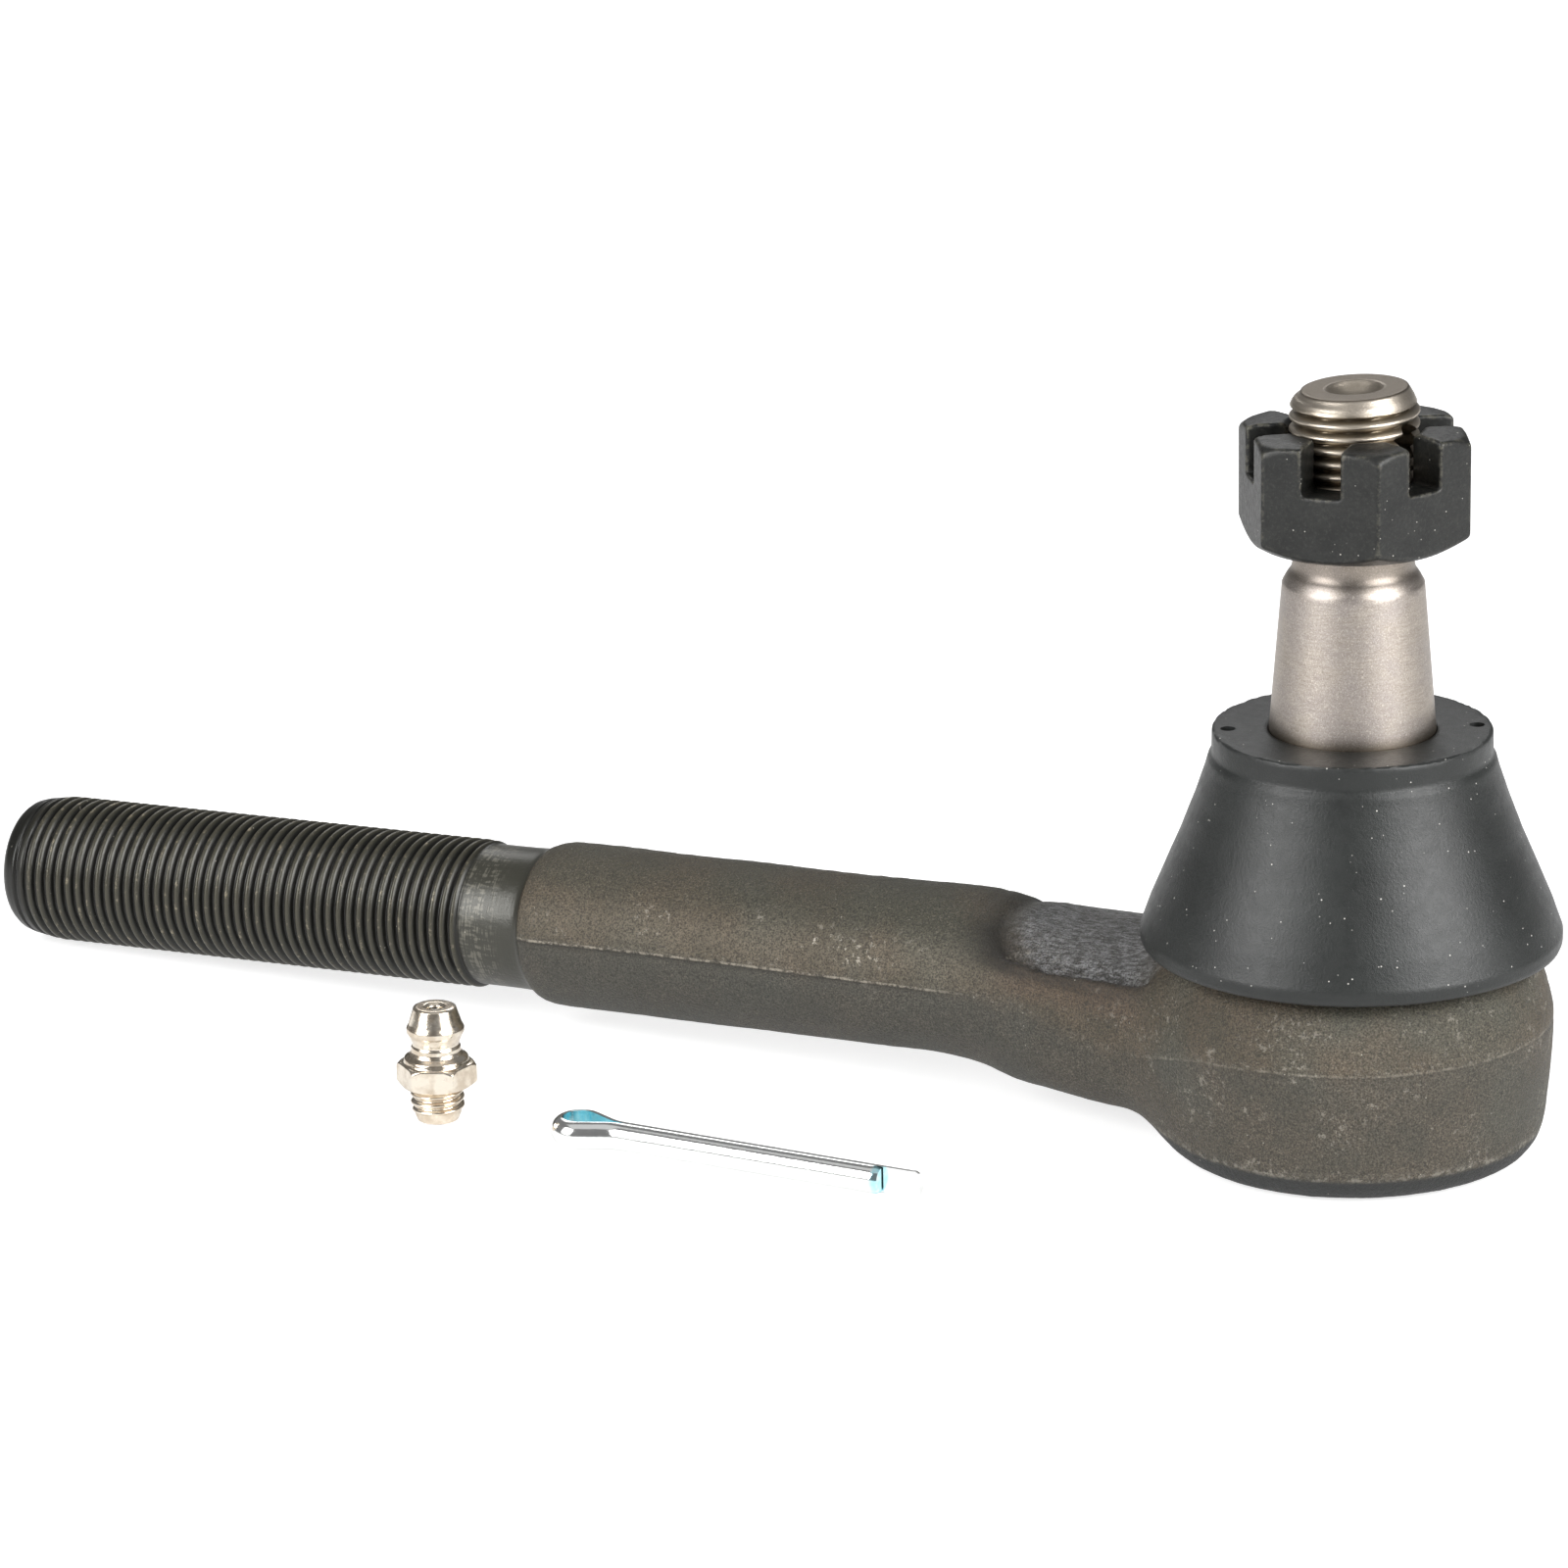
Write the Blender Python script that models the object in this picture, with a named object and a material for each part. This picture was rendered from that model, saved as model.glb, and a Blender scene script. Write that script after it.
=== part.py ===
"""Outer tie rod end with a 9/16-18 tapered ball stud and an 11/16-18 threaded shank.

Frame: the origin is the centre of the ball, +Z runs up the stud and the shank points along -X,
drooping a little below the horizontal. Sizes are in millimetres here and become metres in the mesh.
Heights given to up() are measured from the rolled lip under the head, which is the plane the part
rests on. The loose grease fitting and cotter pin stand and lie on that same plane.
"""

import math

import bmesh
import bpy
from mathutils import Matrix, Vector

MM = 0.001
GAP = 0.3                      # clearance left between neighbouring solids
ROUND = 40                     # sides of the large turned pieces
SMALL_ROUND = 24               # sides of the small turned pieces

# Driving sizes
INCH = 25.4
BALL_HEIGHT = 15.6             # ball centre above the rolled lip
BALL_R = 12.7                  # a 1 in ball
SHANK_THREAD_R = 11 / 16 * INCH / 2
STUD_THREAD_R = 9 / 16 * INCH / 2
STUD_TOP = 86.55
TAPER_PER_MM = 1 / 12          # radius lost per millimetre of height: 2 in per foot on the diameter
TAPER_GAUGE = (52.73, 8.74)    # height and radius of one point on the taper
SHANK_TIP = 174.0              # distance of the tip from the ball's centre, along the shank
SHANK_CREST_END = 168.8        # where the full thread stops, which touches the table
SHANK_DROOP = math.asin((BALL_HEIGHT - SHANK_THREAD_R) / SHANK_CREST_END)
BORE_R = 16.6
HEAD_TOP = 23.2
BOOT_TOP = 48.07
BOOT_LIP_R = 23.2
NUT_FLATS = 22.9
NUT_BOTTOM = 69.2
NUT_TOP = 82.1
NUT_TURN = math.radians(4.9)   # where the nut has come to rest on its thread
SLOT_WIDTH = 4.5
SLOT_DEPTH = 5.4
COTTER_HOLE_H = 81.3
COTTER_HOLE_R = 1.75
COTTER_HOLE_TURN = math.radians(-9.0)
PIN_R = 1.6                    # a 1/8 in cotter pin

# Boot: two holes left by the pegs that held the insert in the mould
MOULDING_HOLE_R = 0.85
MOULDING_HOLE_CIRCLE = 13.6
MOULDING_HOLE_TURN = math.radians(27.4)

# Where the two loose pieces stand and lie
FITTING_AT = (-95.5, -37.4)
FITTING_TURN = math.radians(-6.8)
PIN_Y = -36.9
PIN_EYE_X = -77.4
PIN_LONG_END_X = -35.1
PIN_SHORT_END_X = -39.6


def up(height):
    """Frame height, in millimetres, of a point that far above the rolled lip."""
    return height - BALL_HEIGHT


def lifted(profile):
    """The same (radius, height) points with their heights above the rolled lip made frame heights."""
    return [(r, up(h)) for r, h in profile]


def clear_scene():
    for obj in list(bpy.data.objects):
        bpy.data.objects.remove(obj, do_unlink=True)


def material(name, colour, roughness, metallic):
    made = bpy.data.materials.new(name)
    made.use_nodes = True
    shader = made.node_tree.nodes["Principled BSDF"]
    shader.inputs["Base Color"].default_value = (*colour, 1.0)
    shader.inputs["Roughness"].default_value = roughness
    shader.inputs["Metallic"].default_value = metallic
    return made


def add_object(name, bm, finish=None, sharp=35.0):
    """Links a finished bmesh, given in millimetres, as an object in metres."""
    bmesh.ops.scale(bm, vec=Vector((MM, MM, MM)), verts=bm.verts)
    bmesh.ops.recalc_face_normals(bm, faces=bm.faces)
    mesh = bpy.data.meshes.new(name)
    bm.to_mesh(mesh)
    bm.free()
    mesh.shade_smooth()
    mesh.set_sharp_from_angle(angle=math.radians(sharp))
    obj = bpy.data.objects.new(name, mesh)
    bpy.context.scene.collection.objects.link(obj)
    if finish:
        mesh.materials.append(finish)
    return obj


def turned(profile, sides=ROUND, start=0.0):
    """A solid of revolution about Z. The profile is a closed loop of (radius, height) points."""
    bm = bmesh.new()
    points = [bm.verts.new((r * math.cos(start), r * math.sin(start), h)) for r, h in profile]
    loop = [bm.edges.new(pair) for pair in zip(points, points[1:] + points[:1])
            if pair[0].co.xy.length > 1e-6 or pair[1].co.xy.length > 1e-6]
    bmesh.ops.spin(bm, geom=points + loop, cent=(0, 0, 0), axis=(0, 0, 1), angle=2 * math.pi,
                   steps=sides, use_merge=True, use_duplicate=False)
    bmesh.ops.remove_doubles(bm, verts=bm.verts, dist=1e-4)
    return bm


def arc(radius, centre_h, first, last, steps):
    """Points (radius, height) on a circle about the axis, by latitude in degrees."""
    angles = [math.radians(first + (last - first) * i / steps) for i in range(steps + 1)]
    return [(radius * math.cos(a), centre_h + radius * math.sin(a)) for a in angles]


def loft(rings):
    """A closed solid through rings that each hold the same number of points."""
    bm = bmesh.new()
    made = [[bm.verts.new(point) for point in ring] for ring in rings]
    for ring, following in zip(made, made[1:]):
        for i in range(len(ring)):
            j = (i + 1) % len(ring)
            bm.faces.new((ring[i], ring[j], following[j], following[i]))
    bm.faces.new(made[0])
    bm.faces.new(reversed(made[-1]))
    return bm


def rod(radius, length, sides=SMALL_ROUND):
    """A cylinder along Z, centred on the origin."""
    bm = bmesh.new()
    bmesh.ops.create_cone(bm, cap_ends=True, segments=sides, radius1=radius, radius2=radius,
                          depth=length)
    return bm


def cutter(name, bm):
    obj = add_object(name, bm)
    obj.hide_render = True
    obj.display_type = "WIRE"
    return obj


def combine(obj, other, operation):
    step = obj.modifiers.new(f"{operation.lower()} {other.name}", "BOOLEAN")
    step.operation = operation
    step.object = other
    step.solver = "EXACT"


# Housing ---------------------------------------------------------------------------------------

HEAD_OUTLINE = ((18.1, 0.0), (19.4, 0.6), (20.6, 1.7), (21.4, 3.3), (21.9, 7.8), (22.3, 13.0),
                (22.32, 15.8), (21.5, 19.2), (20.4, 21.9), (18.6, HEAD_TOP))

# Forged neck and shank: distance along the shank, centre height, half width, half height, squareness
NECK_SECTIONS = ((8.0, 12.2, 15.0, 9.8, 3.0), (18.0, 11.8, 14.6, 9.6, 3.0), (27.0, 11.5, 12.6, 9.5, 3.0),
                 (34.0, 11.5, 11.4, 9.2, 2.8), (39.0, 12.1, 10.6, 9.7, 2.4), (43.0, 12.8, 10.0, 9.9, 2.1),
                 (49.0, 13.1, 9.6, 9.7, 2.0), (56.0, 12.8, 9.6, 9.6, 2.0), (98.5, 11.45, 9.6, 9.6, 2.0),
                 (101.8, 11.4, 9.3, 9.3, 2.0))


def shank_axis_h(distance):
    return BALL_HEIGHT - distance * math.sin(SHANK_DROOP)


def shank_ring(distance, centre_h, half_width, half_height, squareness=2.0, sides=32):
    """One section across the shank, square to its drooping axis, as a superellipse."""
    centre = Vector((-distance * math.cos(SHANK_DROOP), 0.0, up(centre_h)))
    tall = Vector((-math.sin(SHANK_DROOP), 0.0, math.cos(SHANK_DROOP)))
    wide = Vector((0.0, 1.0, 0.0))
    ring = []
    for i in range(sides):
        a = 2 * math.pi * i / sides
        c, s = math.cos(a), math.sin(a)
        w = math.copysign(abs(c) ** (2 / squareness), c) * half_width
        t = math.copysign(abs(s) ** (2 / squareness), s) * half_height
        ring.append(centre + wide * w + tall * t)
    return ring


def shank_solid():
    rings = [shank_ring(*section) for section in NECK_SECTIONS]
    turned_part = ((104.4, 8.5), (109.6, 8.3), (110.6, SHANK_THREAD_R),
                   (SHANK_CREST_END, SHANK_THREAD_R), (171.4, 8.4), (173.3, 7.9), (SHANK_TIP, 7.3))
    for distance, radius in turned_part:
        rings.append(shank_ring(distance, shank_axis_h(distance), radius, radius))
    return loft(rings)


def make_housing(finish):
    outline = ((0.0, 0.0),) + HEAD_OUTLINE + ((0.0, HEAD_TOP),)
    housing = add_object("housing", turned(lifted(outline), 48), finish, 50.0)
    combine(housing, cutter("shank_blank", shank_solid()), "UNION")
    socket = ((0.0, -1.0), (15.0, -1.0), (15.0, 1.6), (17.6, 1.6), (17.6, 4.3), (BORE_R, 4.3),
              (BORE_R, 19.6), (12.4, 22.7), (12.9, HEAD_TOP + 1.0), (0.0, HEAD_TOP + 1.0))
    combine(housing, cutter("socket", turned(lifted(socket))), "DIFFERENCE")


# Ball stud and what carries it -------------------------------------------------------------------

def taper_r(height):
    return TAPER_GAUGE[1] - (height - TAPER_GAUGE[0]) * TAPER_PER_MM


def make_ball_stud(finish):
    foot = math.degrees(math.asin(-7.7 / BALL_R))
    neck = math.degrees(math.acos(7.6 / BALL_R))
    profile = [(0.0, 7.9)] + arc(BALL_R, BALL_HEIGHT, foot, neck, 9)
    profile += [(7.6, 36.0), (8.2, 40.0), (taper_r(44.0), 44.0), (taper_r(64.7), 64.7), (6.65, 66.4),
                (6.65, 69.0), (STUD_THREAD_R - 0.07, 69.6), (STUD_THREAD_R - 0.07, 85.1),
                (5.44, STUD_TOP), (3.1, STUD_TOP), (2.3, STUD_TOP - 1.3), (0.0, STUD_TOP - 1.3)]
    stud = add_object("ball_stud", turned(lifted(profile), 32), finish)
    hole = rod(COTTER_HOLE_R, 4 * STUD_THREAD_R, 16)
    bmesh.ops.rotate(hole, matrix=Matrix.Rotation(math.pi / 2, 3, "Y"), verts=hole.verts)
    bmesh.ops.rotate(hole, matrix=Matrix.Rotation(COTTER_HOLE_TURN, 3, "Z"), verts=hole.verts)
    bmesh.ops.translate(hole, vec=(0, 0, up(COTTER_HOLE_H)), verts=hole.verts)
    combine(stud, cutter("cotter_hole", hole), "DIFFERENCE")


def make_bearings(finish):
    """Two seats around the ball. The lower one is a ring, open where the ball's flat foot swings."""
    seat_r = BALL_R + GAP
    outer_r = BORE_R - GAP
    lowest, highest = -6.1 + BALL_HEIGHT, 22.4
    low_lat = math.degrees(math.asin((lowest - BALL_HEIGHT) / seat_r))
    top_lat = math.degrees(math.asin((highest - BALL_HEIGHT) / seat_r))
    upper = [(outer_r, lowest), (outer_r, 19.4), (12.0, highest)]
    upper += arc(seat_r, BALL_HEIGHT, top_lat, low_lat, 6)
    add_object("upper_bearing", turned(lifted(upper)), finish)
    rim, foot = lowest - GAP, 6.0
    rim_lat = math.degrees(math.asin((rim - BALL_HEIGHT) / seat_r))
    foot_lat = math.degrees(math.asin((foot - BALL_HEIGHT) / seat_r))
    lower = [(outer_r, foot), (outer_r, rim)] + arc(seat_r, BALL_HEIGHT, rim_lat, foot_lat, 3)
    add_object("lower_bearing", turned(lifted(lower)), finish)


def make_preload_spring(finish):
    """A dished spring washer between the cover plate and the lower bearing."""
    profile = ((14.0, 4.3), (14.0, 5.1), (8.5, 5.7), (8.5, 4.9))
    add_object("preload_spring", turned(lifted(profile)), finish)


def make_cover_plate(finish):
    """The plate under the socket, held by the rolled lip, with the grease fitting's port."""
    profile = ((3.2, 1.9), (17.3, 1.9), (17.3, 4.0), (3.2, 4.0))
    add_object("cover_plate", turned(lifted(profile)), finish)


# Boot ------------------------------------------------------------------------------------------

def make_boot(finish):
    """The rubber boot, with the pocket that its insert is moulded into."""
    outside = ((22.7, 23.53), (BOOT_LIP_R, 24.2), (BOOT_LIP_R, 25.5), (22.15, 28.2), (18.85, 36.0),
               (16.85, 41.6), (15.7, 45.15), (15.38, 45.35), (15.36, BOOT_TOP))
    inside = ((9.8, BOOT_TOP), (9.8, 44.0), (13.0, 44.0), (16.7, 36.0), (20.2, 27.4), (20.3, 25.0),
              (19.4, 24.2), (19.4, 23.53))
    boot = add_object("boot", turned(lifted(outside + inside)), finish)
    pocket = ((11.3, 45.0), (14.7, 45.0), (14.7, 47.2), (11.3, 47.2))
    combine(boot, cutter("insert_pocket", turned(lifted(pocket))), "DIFFERENCE")
    for side in (0, 1):
        hole = rod(MOULDING_HOLE_R, 3.0, 12)
        a = MOULDING_HOLE_TURN + math.pi * side
        x, y = MOULDING_HOLE_CIRCLE * math.cos(a), MOULDING_HOLE_CIRCLE * math.sin(a)
        bmesh.ops.translate(hole, vec=(x, y, up(BOOT_TOP)), verts=hole.verts)
        combine(boot, cutter(f"moulding_hole_{side}", hole), "DIFFERENCE")


def make_boot_insert(finish):
    """The ring moulded into the boot's flange, which keeps it flat against the steering arm."""
    profile = ((11.6, 45.3), (14.4, 45.3), (14.4, 46.9), (11.6, 46.9))
    add_object("boot_insert", turned(lifted(profile)), finish)


# Castle nut ------------------------------------------------------------------------------------

def make_castle_nut(finish):
    corner_r = NUT_FLATS / math.sqrt(3)
    hexagon = rod(corner_r, NUT_TOP - NUT_BOTTOM, 6)
    turn = Matrix.Rotation(NUT_TURN - math.radians(30), 3, "Z")
    bmesh.ops.rotate(hexagon, matrix=turn, verts=hexagon.verts)
    bmesh.ops.translate(hexagon, vec=(0, 0, up((NUT_TOP + NUT_BOTTOM) / 2)), verts=hexagon.verts)
    nut = add_object("castle_nut", hexagon, finish, 20.0)
    beyond = 15.0                  # clear of the corners
    bottom_r = 10.6
    chamfer = (beyond - bottom_r) * math.tan(math.radians(30))
    crown = ((0.0, NUT_BOTTOM), (bottom_r, NUT_BOTTOM), (beyond, NUT_BOTTOM + chamfer),
             (beyond, NUT_TOP - 1.9), (12.4, NUT_TOP - 0.4), (9.6, NUT_TOP), (0.0, NUT_TOP))
    combine(nut, cutter("nut_crown", turned(lifted(crown), 48)), "INTERSECT")
    bore = ((0.0, NUT_BOTTOM - 1), (8.2, NUT_BOTTOM - 1), (8.2, NUT_BOTTOM), (7.25, NUT_BOTTOM + 0.9),
            (7.25, NUT_TOP + 1), (0.0, NUT_TOP + 1))
    combine(nut, cutter("nut_bore", turned(lifted(bore), 32)), "DIFFERENCE")
    for i in range(3):
        slot = bmesh.new()
        bmesh.ops.create_cube(slot, size=1.0)
        bmesh.ops.scale(slot, vec=(40.0, SLOT_WIDTH, 2 * SLOT_DEPTH), verts=slot.verts)
        turn = Matrix.Rotation(NUT_TURN + math.radians(30 + 60 * i), 3, "Z")
        bmesh.ops.rotate(slot, matrix=turn, verts=slot.verts)
        bmesh.ops.translate(slot, vec=(0, 0, up(NUT_TOP)), verts=slot.verts)
        combine(nut, cutter(f"nut_slot_{i}", slot), "DIFFERENCE")


# Loose grease fitting ----------------------------------------------------------------------------

def place_on_table(obj):
    obj.location = (FITTING_AT[0] * MM, FITTING_AT[1] * MM, up(0.0) * MM)


def make_grease_fitting(finish, ball_finish):
    """A fitting with a 5/16 in hexagon, standing on its threaded end. Heights are from that end."""
    outside = ((0.0, 0.0), (1.4, 0.0), (2.4, 0.6), (3.0, 1.5), (3.0, 4.5), (3.7, 6.9), (2.8, 8.4),
               (2.6, 9.2), (3.28, 10.8), (3.2, 11.6), (2.33, 13.7), (0.0, 13.7))
    inside = ((0.0, -1.0), (0.7, -1.0), (0.7, 8.0), (1.35, 8.0), (1.35, 13.2), (0.85, 13.2),
              (0.85, 14.7), (0.0, 14.7))
    body = add_object("fitting_body", turned(outside, SMALL_ROUND), finish)
    hexagon = rod(9.17 / 2, 2.2, 6)
    bmesh.ops.rotate(hexagon, matrix=Matrix.Rotation(FITTING_TURN, 3, "Z"), verts=hexagon.verts)
    bmesh.ops.translate(hexagon, vec=(0, 0, 5.6), verts=hexagon.verts)
    wrench_flats = cutter("fitting_hexagon", hexagon)
    combine(body, wrench_flats, "UNION")
    passage = cutter("fitting_passage", turned(inside, 16))
    combine(body, passage, "DIFFERENCE")
    ball = add_object("fitting_ball", turned(arc(1.1, 12.2, -90, 90, 8), 16), ball_finish, 60.0)
    for obj in (body, wrench_flats, passage, ball):
        place_on_table(obj)


def make_fitting_spring(finish):
    """The coil that holds the check ball on its seat."""
    turns, per_turn, wire_r, coil_r, bottom, top = 4, 12, 0.15, 0.95, 8.35, 10.75
    curve = bpy.data.curves.new("fitting_spring", "CURVE")
    curve.dimensions = "3D"
    curve.bevel_depth = wire_r * MM
    curve.bevel_resolution = 1
    curve.use_fill_caps = True
    count = turns * per_turn + 1
    line = curve.splines.new("POLY")
    line.points.add(count - 1)
    for i, point in enumerate(line.points):
        a = 2 * math.pi * i / per_turn
        h = bottom + (top - bottom) * i / (count - 1)
        point.co = (coil_r * math.cos(a) * MM, coil_r * math.sin(a) * MM, h * MM, 1.0)
    spring = bpy.data.objects.new("fitting_spring", curve)
    bpy.context.scene.collection.objects.link(spring)
    curve.materials.append(finish)
    place_on_table(spring)


# Loose cotter pin --------------------------------------------------------------------------------

def pin_path(eye_r, split):
    """Inner line of the half-round wire, seen from above: long leg, eye, short leg."""
    root = Vector((PIN_EYE_X + 4.3, split))
    reach = math.hypot(4.3, split)
    start = math.acos(eye_r / reach)
    path = [Vector((PIN_LONG_END_X, split)), root]
    steps = 12
    for i in range(steps + 1):
        a = start + (2 * math.pi - 2 * start) * i / steps
        path.append(Vector((PIN_EYE_X + eye_r * math.cos(a), eye_r * math.sin(a))))
    return path + [Vector((root.x, -split)), Vector((PIN_SHORT_END_X, -split))]


def make_cotter_pin(finish):
    split = GAP / 2
    path = pin_path(1.9, split)
    rings = []
    for i, point in enumerate(path):
        back = path[max(i - 1, 0)]
        ahead = path[min(i + 1, len(path) - 1)]
        along = (ahead - back).normalized()
        outward = Vector((along.y, -along.x))
        ring = []
        for k in range(7):
            a = math.radians(-90 + 30 * k)
            spot = point + outward * ((PIN_R - split) * math.cos(a))
            ring.append((spot.x, PIN_Y + spot.y, up(PIN_R) + PIN_R * math.sin(a)))
        rings.append(ring)
    add_object("cotter_pin", loft(rings), finish)


def main():
    clear_scene()
    forged = material("forged_steel", (0.075, 0.065, 0.055), 0.62, 0.6)
    ground = material("ground_steel", (0.52, 0.47, 0.43), 0.35, 1.0)
    black = material("black_oxide", (0.03, 0.033, 0.035), 0.42, 0.7)
    rubber = material("boot_rubber", (0.025, 0.027, 0.03), 0.5, 0.0)
    sintered = material("sintered_bearing", (0.3, 0.26, 0.2), 0.5, 0.8)
    spring_steel = material("spring_steel", (0.35, 0.35, 0.36), 0.35, 1.0)
    plain_steel = material("plate_steel", (0.28, 0.28, 0.28), 0.45, 1.0)
    nickel = material("nickel_plate", (0.85, 0.76, 0.68), 0.18, 1.0)
    zinc = material("zinc_plate", (0.72, 0.78, 0.8), 0.22, 1.0)

    make_housing(forged)
    make_ball_stud(ground)
    make_bearings(sintered)
    make_preload_spring(spring_steel)
    make_cover_plate(plain_steel)
    make_boot(rubber)
    make_boot_insert(plain_steel)
    make_castle_nut(black)
    make_grease_fitting(nickel, spring_steel)
    make_fitting_spring(spring_steel)
    make_cotter_pin(zinc)


main()
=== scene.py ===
"""Looks of the tie rod end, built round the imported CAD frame.

Mesh code works in millimetres in the CAD frame: the origin is the centre of the ball, +Z runs up the
stud and the shank points along -X. Pieces become metres when they are linked.
"""

import math
from collections import Counter

import bmesh
import bpy
import numpy as np
from mathutils import Matrix, Vector


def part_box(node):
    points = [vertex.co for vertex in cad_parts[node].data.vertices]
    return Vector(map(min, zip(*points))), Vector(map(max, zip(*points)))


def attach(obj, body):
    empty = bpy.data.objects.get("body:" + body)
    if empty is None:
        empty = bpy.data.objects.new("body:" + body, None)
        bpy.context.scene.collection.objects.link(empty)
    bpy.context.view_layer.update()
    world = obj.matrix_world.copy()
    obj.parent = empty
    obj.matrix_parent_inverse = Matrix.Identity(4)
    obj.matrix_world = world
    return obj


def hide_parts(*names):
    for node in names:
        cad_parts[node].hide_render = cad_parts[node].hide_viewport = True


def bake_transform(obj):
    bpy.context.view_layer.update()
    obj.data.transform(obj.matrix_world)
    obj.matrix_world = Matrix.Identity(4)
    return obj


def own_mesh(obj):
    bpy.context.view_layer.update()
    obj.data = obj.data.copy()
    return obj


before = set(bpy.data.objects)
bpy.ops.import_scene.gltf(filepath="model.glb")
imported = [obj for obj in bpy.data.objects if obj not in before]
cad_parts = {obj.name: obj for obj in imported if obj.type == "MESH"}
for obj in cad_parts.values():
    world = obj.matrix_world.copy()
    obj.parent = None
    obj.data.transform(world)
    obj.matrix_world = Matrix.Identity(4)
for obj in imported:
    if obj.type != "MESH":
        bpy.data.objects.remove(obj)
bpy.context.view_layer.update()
scene = bpy.context.scene

MM = 0.001
INCH = 25.4
TURN = 2 * math.pi


def cad(node):
    """Lowest and highest corner of a CAD node, in millimetres."""
    low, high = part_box(node)
    return np.array(low) / MM, np.array(high) / MM


# --- Sizes, from the frame where it has them ---

REST_Z = cad("housing")[0][2]  # the plane the part rests on
BALL_R = 0.5 * INCH
NUT_BOTTOM, NUT_TOP = cad("castle_nut")[0][2], cad("castle_nut")[1][2]
FITTING_LOW, FITTING_HIGH = cad("fitting_body")
FITTING_FOOT = np.array((*(FITTING_LOW + FITTING_HIGH)[:2] / 2, FITTING_LOW[2]))
PITCH = INCH / 18  # of both threads
SHANK_R = 11 / 16 * INCH / 2
SHANK_TIP = 174  # along the shank's axis from the ball, as all its distances are
SHANK_CREST_END = 168.8
DROOP = math.asin((-REST_Z - SHANK_R) / SHANK_CREST_END)
SHANK_AXIS = np.array((-math.cos(DROOP), 0, -math.sin(DROOP)))
SHANK_UP = np.array((-math.sin(DROOP), 0, math.cos(DROOP)))
JOIN_AT = 90  # where the forging's mesh meets the turned shank's
NUT_TURN = math.radians(4.9)
NUT_FLATS, NUT_BORE_R = 22.9, 7.25
SLOT_DEPTH, SLOT_HALF_WIDTH = 5.4, 2.2


def up(height):
    """Frame height of a point that far above the rest plane."""
    return REST_Z + height


# --- Mesh tools ---

def smooth_interp(x, xs, ys):
    """Cubic Hermite curve through the points, with finite-difference slopes."""
    xs, ys = np.asarray(xs, float), np.asarray(ys, float)
    slope = np.gradient(ys, xs)
    x = np.clip(x, xs[0], xs[-1])
    i = np.clip(np.searchsorted(xs, x) - 1, 0, len(xs) - 2)
    width = xs[i + 1] - xs[i]
    t = (x - xs[i]) / width
    rise = ys[i] * (1 + 2 * t) * (1 - t) ** 2 + ys[i + 1] * t * t * (3 - 2 * t)
    return rise + width * (slope[i] * t * (1 - t) ** 2 - slope[i + 1] * t * t * (1 - t))


def step_up(x, low, high):
    """0 below low, 1 above high and a smooth rise between them. A high below low makes it a fall."""
    t = np.clip((x - low) / (high - low), 0, 1)
    return t * t * (3 - 2 * t)


def within(x, low, low_to, high, high_to):
    """1 inside a range with soft ends, 0 outside it."""
    return step_up(x, low, low_to) * (1 - step_up(x, high, high_to))


def bell(x, centre, width):
    return np.exp(-((x - centre) / width) ** 2)


def join_soft(a, b, radius):
    """Union of two distance fields with a fillet of about that radius."""
    h = np.clip(0.5 + 0.5 * (b - a) / radius, 0, 1)
    return b + (a - b) * h - radius * h * (1 - h)


def cut_soft(a, b, radius):
    """Field a with field b taken away, its new edges rounded."""
    return -join_soft(-a, b, radius)


def rounded(points, keep):
    """Corner-cutting of a closed outline. Corners whose numbers are in keep stay sharp."""
    outline = [(np.array(p, float), i in keep) for i, p in enumerate(points)]
    for _ in range(2):
        cut = []
        for i, (here, sharp) in enumerate(outline):
            before = outline[i - 1][0]
            after = outline[(i + 1) % len(outline)][0]
            if sharp:
                cut.append((here, True))
            else:
                cut += [(here * 0.75 + before * 0.25, False), (here * 0.75 + after * 0.25, False)]
        outline = cut
    return [p for p, _ in outline]


def outline_distance(points, r, z):
    """Signed distance to a closed outline in the (radius, height) half-plane, negative inside."""
    nearest = np.full(np.shape(r), 1e9, np.float32)
    inside = np.zeros(np.shape(r), bool)
    for (r0, z0), (r1, z1) in zip(points, points[1:] + points[:1]):
        dr, dz = r1 - r0, z1 - z0
        if dr * dr + dz * dz < 1e-12:
            continue
        if max(r0, r1) > 1e-6:
            along = np.clip(((r - r0) * dr + (z - z0) * dz) / (dr * dr + dz * dz), 0, 1)
            nearest = np.minimum(nearest, np.hypot(r - r0 - along * dr, z - z0 - along * dz))
        crosses = (z0 <= z) != (z1 <= z)
        if dz:
            inside ^= crosses & (r < r0 + (z - z0) * dr / dz)
    return np.where(inside, -nearest, nearest)


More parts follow.
